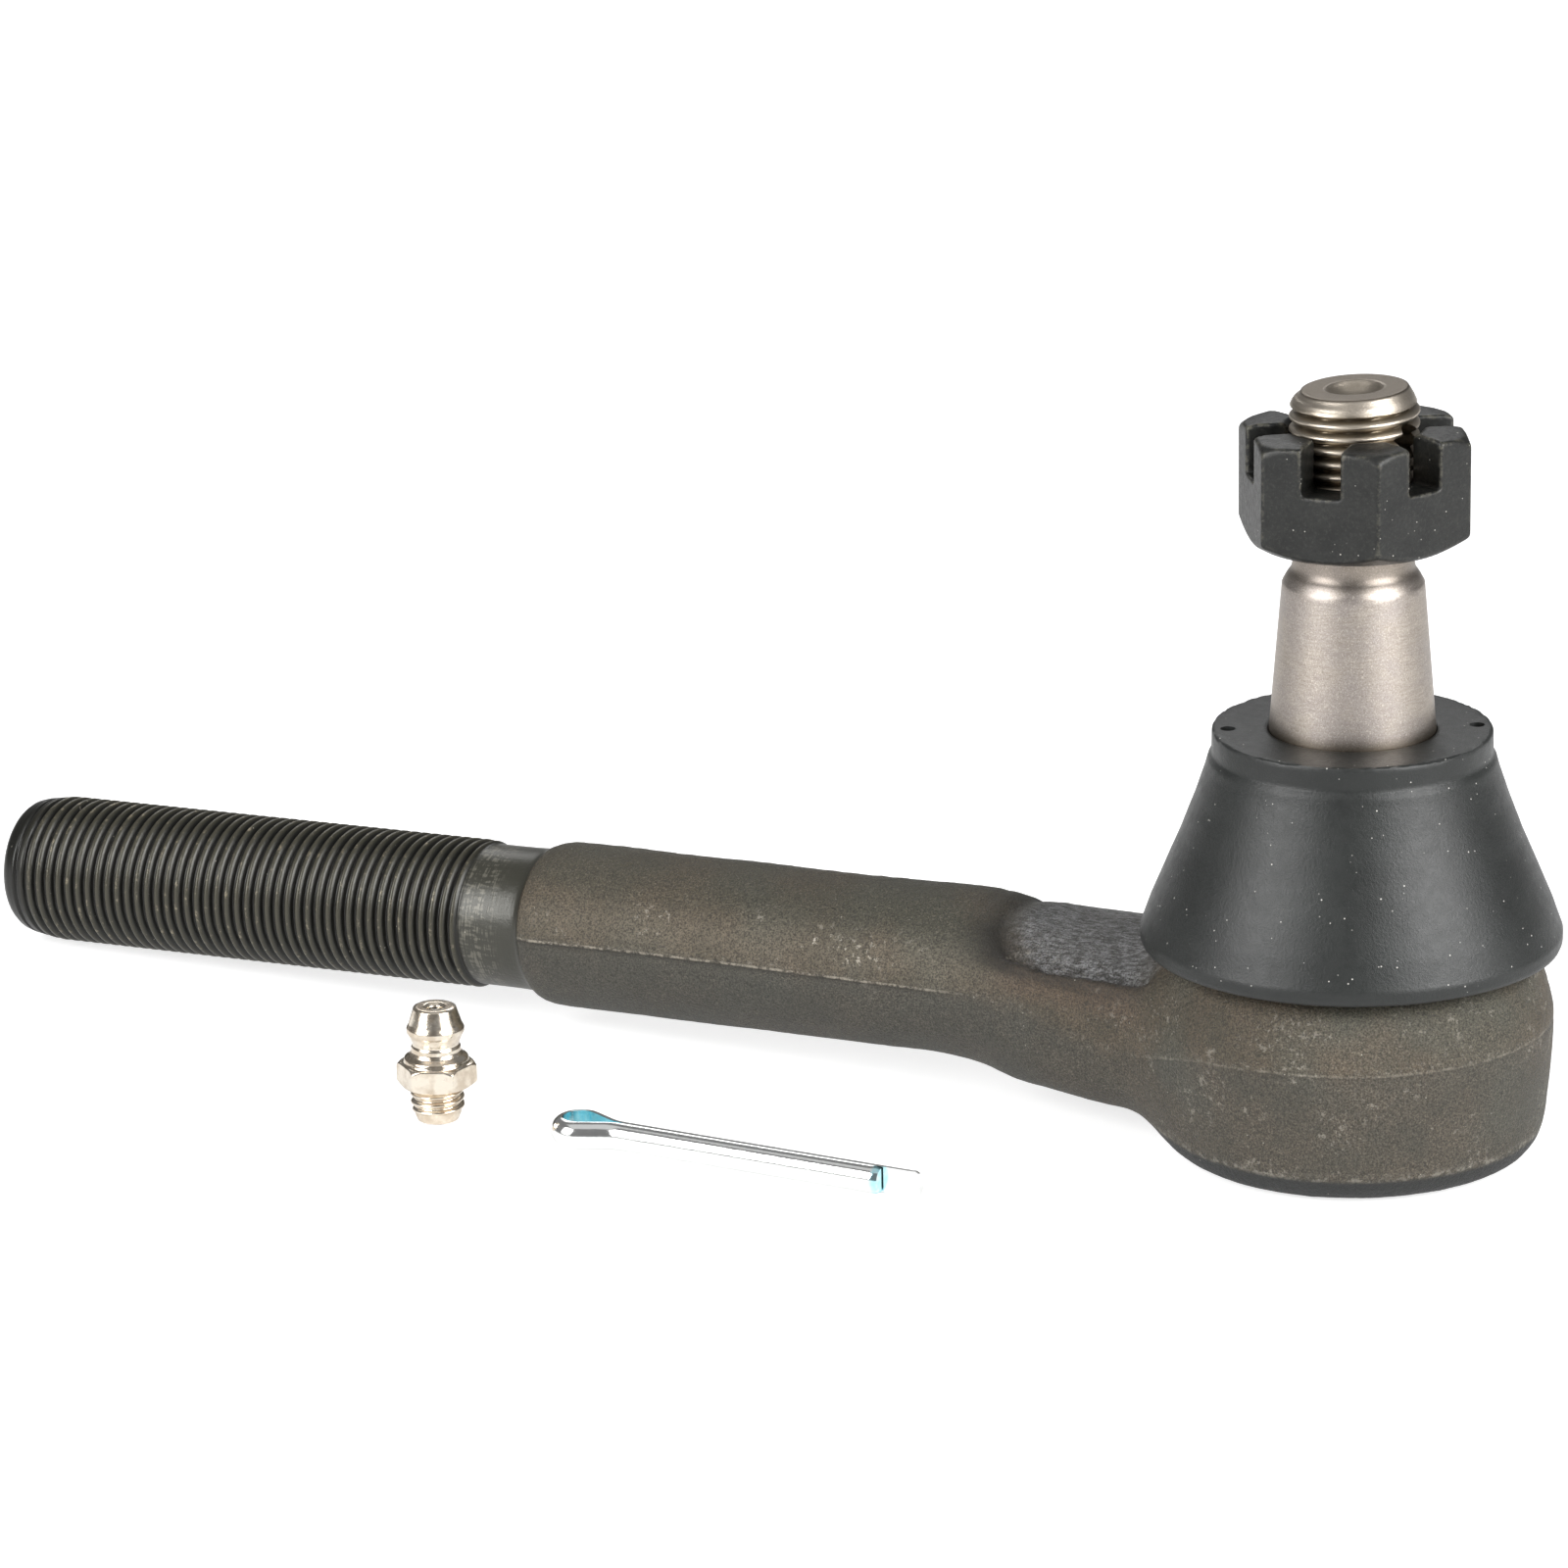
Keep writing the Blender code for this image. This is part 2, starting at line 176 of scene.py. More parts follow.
def surface_net(field, low, high, step):
    """Points and quads of the surface field = 0, from a grid of that step."""
    axes = [np.arange(a, b + step, step, dtype=np.float32) for a, b in zip(low, high)]
    value = field(*np.meshgrid(*axes, indexing="ij"))
    inside = value < 0
    cells = np.array(value.shape) - 1
    spots, quads = [], []
    for axis in range(3):
        first = np.moveaxis(inside, axis, 0)
        at = np.argwhere(np.moveaxis(first[:-1] != first[1:], 0, axis))
        ahead = at + np.eye(3, dtype=int)[axis]
        a, b = value[tuple(at.T)], value[tuple(ahead.T)]
        point = np.stack([axes[k][at[:, k]] for k in range(3)], -1)
        point[:, axis] += step * a / (a - b)
        corners = np.zeros((4, 3), int)
        corners[:, (axis + 1) % 3] = (0, -1, -1, 0)
        corners[:, (axis + 2) % 3] = (0, 0, -1, -1)
        ring = at[:, None] + corners
        whole = ((ring >= 0) & (ring < cells)).all((1, 2))
        key = ring[whole] @ np.array((cells[1] * cells[2], cells[2], 1))
        flip = a[whole] > 0
        key[flip] = key[flip][:, ::-1]
        quads.append(key)
        spots.append(np.repeat(point[whole], 4, 0))
    names, index = np.unique(np.concatenate(quads).ravel(), return_inverse=True)
    total = np.zeros((len(names), 3))
    np.add.at(total, index, np.concatenate(spots))
    points = total / np.bincount(index)[:, None]
    return pull_onto(field, points, step), index.reshape(-1, 4)


def slope_of(field, points, reach=0.02):
    """Gradient of the field at the points."""
    parts = []
    for k in range(3):
        ends = []
        for side in (reach, -reach):
            moved = points.copy()
            moved[:, k] += side
            ends.append(field(*moved.T))
        parts.append((ends[0] - ends[1]) / (2 * reach))
    return np.stack(parts, -1)


def pull_onto(field, points, step):
    """Moves the points down the field's slope until they lie on its surface."""
    for _ in range(4):
        slope = slope_of(field, points)
        size = np.maximum((slope ** 2).sum(1), 0.05)
        move = -slope * (field(*points.T) / size)[:, None]
        length = np.linalg.norm(move, axis=1, keepdims=True)
        points = points + move * np.minimum(1, 0.5 * step / np.maximum(length, 1e-9))
    return points


def tube(rings):
    """Points and quads of a tube through rings, given as an array (rows, sides, 3)."""
    rows, sides = rings.shape[:2]
    index = np.arange(rows * sides).reshape(rows, sides)
    turned = np.roll(index, -1, 1)
    quads = np.stack([index[:-1], turned[:-1], turned[1:], index[1:]], -1).reshape(-1, 4)
    return rings.reshape(-1, 3), quads


def capped_tube(rings):
    """Points and faces of such a tube, closed at both ends."""
    points, quads = tube(rings)
    sides = rings.shape[1]
    faces = [tuple(q) for q in quads]
    faces += [tuple(range(sides))[::-1], tuple(range(len(points) - sides, len(points)))]
    return points, faces


def dense(points, spacing):
    """The same open outline with points no further apart than the spacing."""
    made = [np.array(points[0], float)]
    for a, b in zip(points, points[1:]):
        a, b = np.array(a, float), np.array(b, float)
        count = max(1, math.ceil(np.linalg.norm(b - a) / spacing))
        made += [a + (b - a) * (i + 1) / count for i in range(count)]
    return made


def new_mesh(name, points, faces):
    """A mesh from millimetre points."""
    mesh = bpy.data.meshes.new(name)
    mesh.from_pydata((np.asarray(points) * MM).tolist(), [], [list(map(int, f)) for f in faces])
    return mesh


def new_object(name, data):
    """A scene object that holds that mesh, lamp or camera."""
    obj = bpy.data.objects.new(name, data)
    scene.collection.objects.link(obj)
    return obj


def link(name, points, faces, finish, body=None, replaces=(), sharp=None):
    """Makes a mesh object from millimetre points, rides it on its body and gives it its finish."""
    mesh = new_mesh(name, points, faces)
    mesh.validate()
    mesh.shade_smooth()
    if sharp:
        mesh.set_sharp_from_angle(angle=math.radians(sharp))
    obj = new_object(name, mesh)
    mesh.materials.append(finish)
    if body:
        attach(obj, body)
        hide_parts(*replaces)
    return obj


def paint(obj, name, values):
    """Stores one number for each vertex, which the finish reads."""
    stored = obj.data.attributes.new(name, "FLOAT", "POINT")
    stored.data.foreach_set("value", np.asarray(values, np.float32))


def read(items, name, width=3, kind=np.float32):
    """One property of every item, as the rows of an array."""
    values = np.empty(len(items) * width, kind)
    items.foreach_get(name, values)
    return values.reshape(-1, width)


def places(obj):
    """Vertex places of an object, in millimetres."""
    return read(obj.data.vertices, "co").astype(float) / MM


def move_to(obj, points):
    """Puts an object's vertices at those places, in millimetres."""
    obj.data.vertices.foreach_set("co", (points * MM).astype(np.float32).ravel())
    obj.data.update()


def face_out(mesh):
    """Turns every face of a closed mesh outwards."""
    bm = bmesh.new()
    bm.from_mesh(mesh)
    bmesh.ops.recalc_face_normals(bm, faces=bm.faces)
    bm.to_mesh(mesh)
    bm.free()


def cut_away(obj, points, faces):
    """Takes a closed shape out of an object."""
    mesh = new_mesh("cutter", points, faces)
    face_out(mesh)
    tool = new_object("cutter", mesh)
    step = obj.modifiers.new("cut", "BOOLEAN")
    step.operation = "DIFFERENCE"
    step.object = tool
    step.solver = "EXACT"
    graph = bpy.context.evaluated_depsgraph_get()
    result = bpy.data.meshes.new_from_object(obj.evaluated_get(graph))
    obj.modifiers.clear()
    old = obj.data
    obj.data = result
    bpy.data.meshes.remove(old)
    bpy.data.objects.remove(tool)
    bpy.data.meshes.remove(mesh)


def bulge(obj):
    """How far each vertex stands out from its neighbours, from -1 in a crease to 1 on an edge."""
    edges = read(obj.data.edges, "vertices", 2, np.int32)
    normal = read(obj.data.vertices, "normal")
    co = places(obj)
    count = np.bincount(edges.ravel(), minlength=len(co))[:, None]

    def average(values):
        total = np.zeros_like(values)
        np.add.at(total, edges[:, 0], values[edges[:, 1]])
        np.add.at(total, edges[:, 1], values[edges[:, 0]])
        return total / np.maximum(count, 1)

    length = np.linalg.norm(co[edges[:, 0]] - co[edges[:, 1]], axis=1).mean()
    out = ((co - average(co)) * normal).sum(1, keepdims=True) / length
    for _ in range(2):
        out = 0.5 * out + 0.5 * average(out)
    return np.clip(out[:, 0] * 6, -1, 1)


def waves(points, size, seed, octaves=3):
    """Smooth noise in about -1 to 1 at the points, with features of that size in millimetres."""
    rng = np.random.default_rng(seed)
    total = np.zeros(len(points))
    for octave in range(octaves):
        scale = size / 2 ** octave
        for _ in range(6):
            direction = rng.normal(size=3)
            direction /= np.linalg.norm(direction)
            phase = rng.uniform(0, TURN)
            turns = points @ direction * TURN / scale * rng.uniform(0.7, 1.3)
            total += np.sin(turns + phase) / 2 ** octave
    return total / 6


# --- Finishes ---

class Finish:
    """A node material on one Principled shader. Sizes are in millimetres."""

    def __init__(self, name, roughness=0.5, metallic=0, specular=0.5, coat=0):
        self.material = bpy.data.materials.new(name)
        self.material.use_nodes = True
        self.nodes = self.material.node_tree.nodes
        self.links = self.material.node_tree.links
        self.shader = self.nodes["Principled BSDF"]
        self.set("Roughness", roughness)
        self.set("Metallic", metallic)
        self.set("Specular IOR Level", specular)
        self.set("Coat Weight", coat)
        self.set("Coat Roughness", 0.2)
        self.place = self.nodes.new("ShaderNodeTexCoord").outputs["Object"]
        self.bumps = None

    def set(self, socket, value):
        """Gives one of the shader's sockets a number, a colour or another node's output."""
        self.feed(self.shader.inputs[socket], value)

    def feed(self, socket, value):
        if isinstance(value, bpy.types.NodeSocket):
            self.links.new(value, socket)
        else:
            socket.default_value = (*value, 1) if socket.type == "RGBA" else value

    def node(self, kind, output, **values):
        """That output of a new node, whose inputs are named with _ for a space."""
        node = self.nodes.new("ShaderNode" + kind)
        for name, value in values.items():
            self.feed(node.inputs[name.replace("_", " ")], value)
        return node.outputs[output]

    def stretched(self, scale):
        return self.node("Mapping", "Vector", Vector=self.place, Scale=scale)

    def noise(self, size, detail=3, roughness=0.6, stretch=(1, 1, 1)):
        place = self.stretched(tuple(s / (size * MM) for s in stretch))
        return self.node("TexNoise", "Fac", Vector=place, Scale=1, Detail=detail, Roughness=roughness)

    def cells(self, size):
        return self.node("TexVoronoi", "Distance", Vector=self.stretched((1 / (size * MM),) * 3), Scale=1)

    def painted(self, name):
        node = self.nodes.new("ShaderNodeAttribute")
        node.attribute_name = name
        return node.outputs["Fac"]

    def span(self, value, low, high, out_low=0, out_high=1):
        """Maps low..high to out_low..out_high, and holds it outside that."""
        return self.node("MapRange", "Result", Value=value, From_Min=low, From_Max=high, To_Min=out_low,
                         To_Max=out_high)

    def math(self, operation, a, b):
        node = self.nodes.new("ShaderNodeMath")
        node.operation = operation
        self.feed(node.inputs[0], a)
        self.feed(node.inputs[1], b)
        return node.outputs[0]

    def times(self, product, *others):
        for other in others:
            product = self.math("MULTIPLY", product, other)
        return product

    def plus(self, a, b):
        return self.math("ADD", a, b)

    def mix(self, factor, a, b):
        node = self.nodes.new("ShaderNodeMix")
        node.data_type = "RGBA"
        self.feed(node.inputs["Factor"], factor)
        self.feed(node.inputs["A"], a)
        self.feed(node.inputs["B"], b)
        return node.outputs["Result"]

    def over(self, colour, tint, *shares):
        """The colour with that tint over it, as strong as the product of the shares."""
        return self.mix(self.times(*shares), colour, tint)

    def bump(self, height, depth, strength=1):
        """Adds a relief of that depth in millimetres for a height of 1."""
        below = {"Normal": self.bumps} if self.bumps else {}
        self.bumps = self.node("Bump", "Normal", Height=height, Distance=depth * MM,
                               Strength=strength, **below)
        self.set("Normal", self.bumps)

    def dust(self, colour, size, spread, tint):
        """Sparse pale specks over a colour."""
        speck = self.span(self.cells(size), spread, spread * 0.6)
        some = self.span(self.noise(size * 2.5, 1), 0.5, 0.56)
        return self.over(colour, tint, speck, some, 0.7)


# Painted masks that tint the scale: a darker, greener lower half, rust, a painted shade on the shank's
# top and a painted highlight along its side; mask, share and colour
STAINS_AND_PAINTED_LIGHT = (("lower", 0.7, (0.068, 0.069, 0.06)), ("rust", 0.6, (0.135, 0.088, 0.058)),
          ("crown_shade", 0.5, (0.055, 0.052, 0.034)), ("flank_highlight", 0.4, (0.22, 0.185, 0.135)))


def forged_finish():
    """As-forged scale on the body, machined black on the turned shank, by painted masks; some of them
    paint shade, highlights, a sheen and glints.
    """
    f = Finish("forged_steel", metallic=0.22, specular=0.58)
    grain = f.noise(0.42, 4, 0.7)
    fine = f.noise(0.2, 2)
    patches = f.noise(8, 4)
    scale = f.painted("scale")
    coined = f.painted("coined")
    height = f.painted("parting")
    colour = f.mix(f.span(patches, 0.4, 0.6), (0.082, 0.068, 0.045), (0.118, 0.089, 0.058))
    colour = f.over(colour, (0.092, 0.087, 0.064), f.span(f.noise(20, 2), 0.47, 0.62))
    # rust and a darker lower half, with a painted shade on the shank's top and a painted highlight along
    # its side
    for mask, share, tint in STAINS_AND_PAINTED_LIGHT:
        colour = f.over(colour, tint, f.painted(mask), share)
    # the coined flat's fibrous pale grey: partly its own tone, partly a painted sheen
    fibre = f.noise(0.5, 4, 0.75, stretch=(0.42, 1.2, 1))
    struck_and_sheen = f.mix(f.span(fibre, 0.42, 0.62), (0.07, 0.071, 0.073), (0.4, 0.405, 0.415))
    colour = f.over(colour, struck_and_sheen, coined, 0.85)
    colour = f.over(colour, (0.02, 0.018, 0.013), f.span(fine, 0.53, 0.36), 0.8)
    colour = f.over(colour, (0.018, 0.016, 0.012), f.span(grain, 0.53, 0.4), 0.45)
    pale = f.times(f.span(fine, 0.58, 0.72), f.span(patches, 0.35, 0.6, 0.15, 0.6))
    colour = f.over(colour, (0.24, 0.21, 0.16), pale)
    # painted shade in the crease round the coined flat
    colour = f.over(colour, (0.014, 0.012, 0.009), f.painted("crease"), 0.9)
    # loose pale scuffs in clusters, and the die line with its dusty edge
    clusters = f.times(f.span(f.noise(6, 2), 0.52, 0.6), f.span(f.noise(0.9, 4, 0.8), 0.56, 0.62))
    colour = f.over(colour, (0.62, 0.57, 0.48), clusters, f.painted("scuff"), 0.95)
    broken = f.span(f.noise(0.9, 4, 0.75), 0.44, 0.56)
    along = f.painted("line")
    shadow = f.times(f.span(height, -0.7, -0.1, 0, 0.6), f.span(height, 0.1, -0.02))
    colour = f.over(colour, (0.014, 0.013, 0.011), shadow, along)
    line = f.times(f.span(f.math("ABSOLUTE", f.plus(height, -0.14), 0), 0.2, 0.08), broken)
    colour = f.over(colour, (0.4, 0.36, 0.29), line, along, 0.8)
    dusty = f.times(f.span(height, 1.6, 0.1), f.span(height, 0, 0.1),
                    f.span(f.noise(0.5, 4, 0.8), 0.56, 0.64))
    colour = f.over(colour, (0.4, 0.37, 0.31), dusty, 0.4)
    colour = f.over(colour, (0.022, 0.023, 0.022), f.painted("rolled"))
    rim = f.times(f.painted("rim"), f.span(f.noise(1, 4, 0.75), 0.48, 0.58))
    colour = f.over(colour, (0.34, 0.32, 0.27), rim, 0.55)
    # the machined end
    hatch = f.times(f.noise(0.3, 1, 0.5, stretch=(1.3, 0.15, 0.15)),
                    f.noise(0.4, 1, 0.5, stretch=(0.3, 1, 1)))
    relief = f.painted("relief")
    crest = f.painted("crest")
    turned = f.mix(f.span(crest, 0.55, 1), (0.007, 0.007, 0.005), (0.05, 0.046, 0.031))
    marks = f.times(f.span(hatch, 0.24, 0.36), f.painted("chatter"))
    turned = f.mix(relief, turned, f.mix(marks, (0.04, 0.039, 0.03), (0.12, 0.114, 0.092)))
    # pale flecks on the thread's crests: partly wear, partly painted glints
    glints_and_wear = f.times(f.span(crest, 0.8, 1), f.span(f.noise(1.5, 4, 0.8), 0.57, 0.67))
    turned = f.over(turned, (0.36, 0.31, 0.22), glints_and_wear, 0.6)
    colour = f.mix(scale, turned, colour)
    f.set("Base Color", f.dust(colour, 1.5, 0.06, (0.5, 0.47, 0.4)))
    rough = f.mix(coined, f.span(grain, 0.3, 0.75, 0.44, 0.64), f.span(grain, 0.3, 0.75, 0.34, 0.52))
    f.set("Roughness", f.plus(f.times(scale, rough), f.times(f.math("SUBTRACT", 1, scale), 0.32)))
    f.bump(f.times(fibre, coined), 0.3, 0.8)
    f.bump(f.times(grain, scale), 0.26, 1)
    f.bump(f.times(fine, f.plus(f.times(scale, 0.8), 0.2)), 0.1, 0.8)
    f.bump(f.times(f.span(height, -0.2, 0.1), along), 0.14, 0.8)
    f.bump(f.times(hatch, relief), 0.06, 0.7)
    return f.material


def ground_finish():
    """Ground and turned bare steel with fine rings round its axis."""
    f = Finish("ground_steel", metallic=1)
    rings = f.noise(0.22, 3, 0.7, stretch=(0.12, 0.12, 1))
    specks = f.noise(0.16, 3, 0.7)
    colour = f.mix(f.span(rings, 0.35, 0.68), (0.37, 0.325, 0.285), (0.47, 0.42, 0.37))
    colour = f.over(colour, (0.36, 0.325, 0.315), f.span(f.noise(5), 0.4, 0.62, 0, 0.5))
    colour = f.over(colour, (0.72, 0.66, 0.58), f.span(specks, 0.55, 0.68, 0, 0.7))
    colour = f.over(colour, (0.2, 0.17, 0.145), f.span(specks, 0.45, 0.32, 0, 0.6))
    bright = f.painted("bright")
    colour = f.over(colour, (0.76, 0.68, 0.56), bright, 0.7)
    # darkened by an oily film, and by a painted shade on the stud's end
    colour = f.over(colour, (0.1, 0.078, 0.05), f.painted("oil_and_shade"))
    f.set("Base Color", colour)
    f.set("Roughness", f.plus(f.span(specks, 0.3, 0.7, 0.34, 0.46), f.times(bright, -0.06)))
    f.bump(rings, 0.012, 0.4)
    f.bump(specks, 0.03, 0.6)
    return f.material


def nut_finish():
    """Black oxide, cloudy, with pale edges that are partly wear and partly a painted highlight."""
    f = Finish("black_oxide", specular=0.42)
    cloud = f.noise(3.5)
    grain = f.noise(0.4, 4, 0.75)
    colour = f.mix(f.span(cloud, 0.35, 0.65), (0.006, 0.0064, 0.0058), (0.0125, 0.013, 0.0118))
    colour = f.over(colour, (0.035, 0.036, 0.031), f.span(grain, 0.52, 0.72, 0, 0.6))
    colour = f.over(colour, (0.002, 0.002, 0.002), f.span(grain, 0.46, 0.3, 0, 0.7))
    # pale edges: partly wear on the oxide, partly a painted highlight
    edge = f.times(f.span(f.painted("edge"), 0.25, 0.9), f.span(f.noise(0.8, 3, 0.7), 0.44, 0.6))
    colour = f.over(colour, (0.16, 0.15, 0.115), edge, 0.42)
    f.set("Base Color", f.dust(colour, 1, 0.09, (0.7, 0.68, 0.62)))
    f.set("Roughness", f.span(f.noise(0.6), 0.3, 0.7, 0.34, 0.48))
    f.bump(grain, 0.05, 0.7)
    f.bump(cloud, 0.15, 0.5)
    return f.material


def rubber_finish():
    """Dusty moulded rubber with a fine leathery surface."""
    f = Finish("boot_rubber")
    cloud = f.noise(12, 4)
    colour = f.mix(f.span(cloud, 0.35, 0.65), (0.0085, 0.0098, 0.0092), (0.0145, 0.0165, 0.0155))
    bloom = f.times(f.span(f.painted("edge"), 0.15, 0.9), f.span(f.noise(0.8, 3, 0.7), 0.4, 0.65))
    colour = f.over(colour, (0.06, 0.06, 0.06), bloom, 0.3)
    f.set("Base Color", f.dust(colour, 1, 0.1, (0.75, 0.73, 0.68)))
    f.set("Roughness", f.span(f.noise(1.2, 4), 0.3, 0.7, 0.33, 0.43))
    f.bump(f.noise(0.35, 4, 0.75), 0.06, 0.9)
    f.bump(cloud, 0.12, 0.4)
    return f.material


def plated_finish(name, light, dark, roughness, grain, tinted=None):
    """Bright plating in two tints, with faint tool marks. A mask can place the second."""
    f = Finish(name, metallic=1)
    low, high = (0.25, 0.5) if tinted else (0.4, 0.6)
    patches = f.span(f.noise(2.2), low, high)
    if tinted:
        patches = f.times(patches, f.painted(tinted))
    f.set("Base Color", f.mix(patches, light, dark))
    f.set("Roughness", f.span(f.noise(0.5), 0.3, 0.7, roughness * 0.7, roughness * 1.4))
    f.bump(f.noise(grain), 0.02, 0.5)
    return f.material


def inner_finish(name, light, dark, roughness, metallic, grain):
    """A hidden metal piece: mottled, with a fine grain and an oily sheen."""
    f = Finish(name, metallic=metallic, coat=0.15)
    f.set("Base Color", f.mix(f.span(f.noise(grain * 8, 4), 0.35, 0.65), light, dark))
    f.set("Roughness", f.span(f.noise(grain * 3), 0.3, 0.7, roughness * 0.8, roughness * 1.25))
    f.bump(f.noise(grain, 4, 0.7), 0.04, 0.6)
    return f.material


# --- Housing ---

NECK_R, RELIEF_R = 9.6, 8.3
SHANK_SIDES = 88
THREAD_FROM, THREAD_TO, FIRST_ROOT = 109.4, 172.3, 110.37
THREAD_DEPTH = 0.78
HEAD = ((0, 0), (18.2, 0), (19.6, 0.5), (20.7, 1.6), (21.45, 3.4), (21.9, 7.8), (22.28, 12.2),
        (22.36, 16), (21.6, 19.2), (20.4, 22.2), (18.4, 23.2), (0, 23.2))
SOCKET = ((0, -3), (15, -3), (15, 1.6), (17.6, 1.6), (17.6, 4.3), (16.6, 4.3), (16.6, 19.6),
          (12.4, 22.7), (12.9, 26), (0, 26))

# Distance along the shank, centre height, half width, half height and squareness of its sections
NECK = np.array((
    (6, 12.3, 15.2, 9.9, 3), (18, 11.8, 14.6, 9.6, 3), (27, 11.7, 12.6, 9.7, 3),
    (34, 11.8, 11.5, 9.5, 2.8), (39, 12.1, 10.6, 9.8, 2.4), (43, 12.8, 10, 9.9, 2.1),
    (49, 13.1, NECK_R, 9.7, 2), (56, 12.8, NECK_R, NECK_R, 2),
    (75, 12.18, NECK_R, NECK_R, 2), (JOIN_AT + 12, 11.3, NECK_R, NECK_R, 2)))

# Half width of the flat coined on top of the neck, along the part, and where it ends
COINED = ((10, 12.8), (19.6, 12.1), (25.7, 10.9), (29, 10.6), (33.1, 9.9), (37.5, 8.6), (42, 7))
COINED_END = 40.6

# Height of the line where the forging dies met, along the part
PARTING = ((-16, 15.4), (0, 15.2), (9, 14.5), (15, 12.9), (19.5, 11.5), (25, 11),
           (30, 12), (35.5, 13.6), (42, 13.9), (48, 13.6), (58, 13.4), (68, 13.2),
           (86, 12.65), (102, 11.95))


def neck_axis(distance):
    """How far the forged shank's centre lies above the thread's axis, at that distance."""
    where, height = NECK[:, 0], NECK[:, 1]
    return smooth_interp(distance, where, up(height) + where * math.sin(DROOP))


def inside_coined(distance, side):
    """How far inside the coined flat's crease a point lies, in millimetres."""
    half = np.interp(distance, *np.array(COINED).T).astype(np.float32)
    return join_soft(half - side, 0.8 * (COINED_END - distance), 4.5)


def neck_field(x, y, z):
    """The forged neck and shank as a lofted superellipse."""
    s = x * SHANK_AXIS[0] + z * SHANK_AXIS[2]
    t = x * SHANK_UP[0] + z * SHANK_UP[2]
    wide, tall, square = (smooth_interp(s, NECK[:, 0], NECK[:, k]) for k in (2, 3, 4))
    across = np.abs(y) / wide
    over = np.abs(t - neck_axis(s)) / tall
    size = (across ** square + over ** square + 1e-9) ** (1 / square)
    body = np.maximum((size - 1) * np.minimum(wide, tall), 5 - s)
    # the flat coined on top of the neck: a sunken floor inside a crease, and a bulge outside it
    side = np.abs(y)
    inside = inside_coined(s, side)
    floor = up(21.3) - 1.9 * (side / 10.5) ** 2 + 2.9 * step_up(s, 31.5, 42) * (1 - step_up(side, 4, 11))
    top = step_up(z, up(15.6), up(17.6))
    swollen = 0.75 * (within(s, 16, 22, 36, 41) * top)
    body = body - swollen * bell(inside, -1.2, 1.3) * bell(z, up(18.6), 1.6)
    fillet = 0.4 + 2.4 * step_up(s, 33, 40)
    body = -join_soft(-body, -np.minimum(inside * 0.8, z - floor), fillet)
    groove = 0.95 * bell(inside, 0.2, 0.8) * top * step_up(s, 15, 20)
    return body + groove * (1 - 0.6 * step_up(s, 38, 41))


def housing_field(x, y, z):
    """The forging as far as the turned end, with its socket."""
    r = np.hypot(x, y)
    head = outline_distance(rounded(lifted(HEAD), keep=(0, 11)), r, z)
    outer = join_soft(head, neck_field(x, y, z), 4)
    beyond = x * SHANK_AXIS[0] + z * SHANK_AXIS[2] > 30
    socket = np.where(beyond, 9, outline_distance(lifted(SOCKET), r, z))
    return cut_soft(outer, socket, 0.5)


def lifted(outline):
    return [(r, up(h)) for r, h in outline]


def thread_depth(turns, depth):
    """How deep a thread is cut at that many turns from a crest: a rounded crest and a narrow root."""
    x = 2 * np.abs(turns - np.round(turns))
    return depth * (0.35 * x ** 2 + 0.65 * step_up(x, 0.1, 1.02))


def turned_shank():
    """Rings of the machined end: shoulder, relief, thread and tip, and their crest mask."""
    shoulder = dense([(JOIN_AT + 1, NECK_R), (98, NECK_R), (99.3, 9.56), (100.3, 9.38), (101, 9.12),
                      (101.35, 8.85), (101.6, 8.55), (102.3, 8.4), (104.5, 8.32), (107, RELIEF_R),
                      (109, RELIEF_R)], 0.8)
    fine = np.arange(THREAD_FROM, THREAD_TO, PITCH / 11)
    ends = (THREAD_FROM, 110, 169, THREAD_TO)
    thread = np.stack([fine, np.interp(fine, ends, (RELIEF_R, SHANK_R, SHANK_R, 8.24))], -1)
    tip = dense([(172.4, 8.2), (173.2, 7.98), (173.75, 7.6), (SHANK_TIP, 7.1), (SHANK_TIP, 4),
                 (SHANK_TIP, 0.02)], 0.5)
    s, limit = np.concatenate([shoulder, thread, tip]).T
    a = np.arange(SHANK_SIDES) * TURN / SHANK_SIDES
    turns = (s[:, None] - FIRST_ROOT - a[None] / TURN * PITCH) / PITCH + 0.5
    cut = SHANK_R - thread_depth(turns, THREAD_DEPTH)
    threaded = ((s > THREAD_FROM) & (s < THREAD_TO + 0.05))[:, None]
    radius = np.where(threaded, np.minimum(cut, limit[:, None]), limit[:, None])
    # the thread dies out into the relief
    fade = step_up(s, THREAD_FROM, THREAD_FROM + 0.9)[:, None]
    radius = np.where(threaded, radius * fade + (1 - fade) * RELIEF_R, radius)
    crest = np.where(threaded, np.clip((radius - SHANK_R + THREAD_DEPTH) / THREAD_DEPTH, 0, 1), 0.35)
    lift = np.where(s < 100.8, neck_axis(s), neck_axis(100.8) * (1 - step_up(s, 100.8, 102)))
    # angle 0 points down from the axis towards the far side, so that the helix is right-handed
    side = np.array((0, 1, 0))
    ring = (np.cos(a)[:, None] * side + np.sin(a)[:, None] * SHANK_UP)
    rings = s[:, None, None] * SHANK_AXIS + lift[:, None, None] * SHANK_UP + radius[..., None] * ring
    return rings, crest


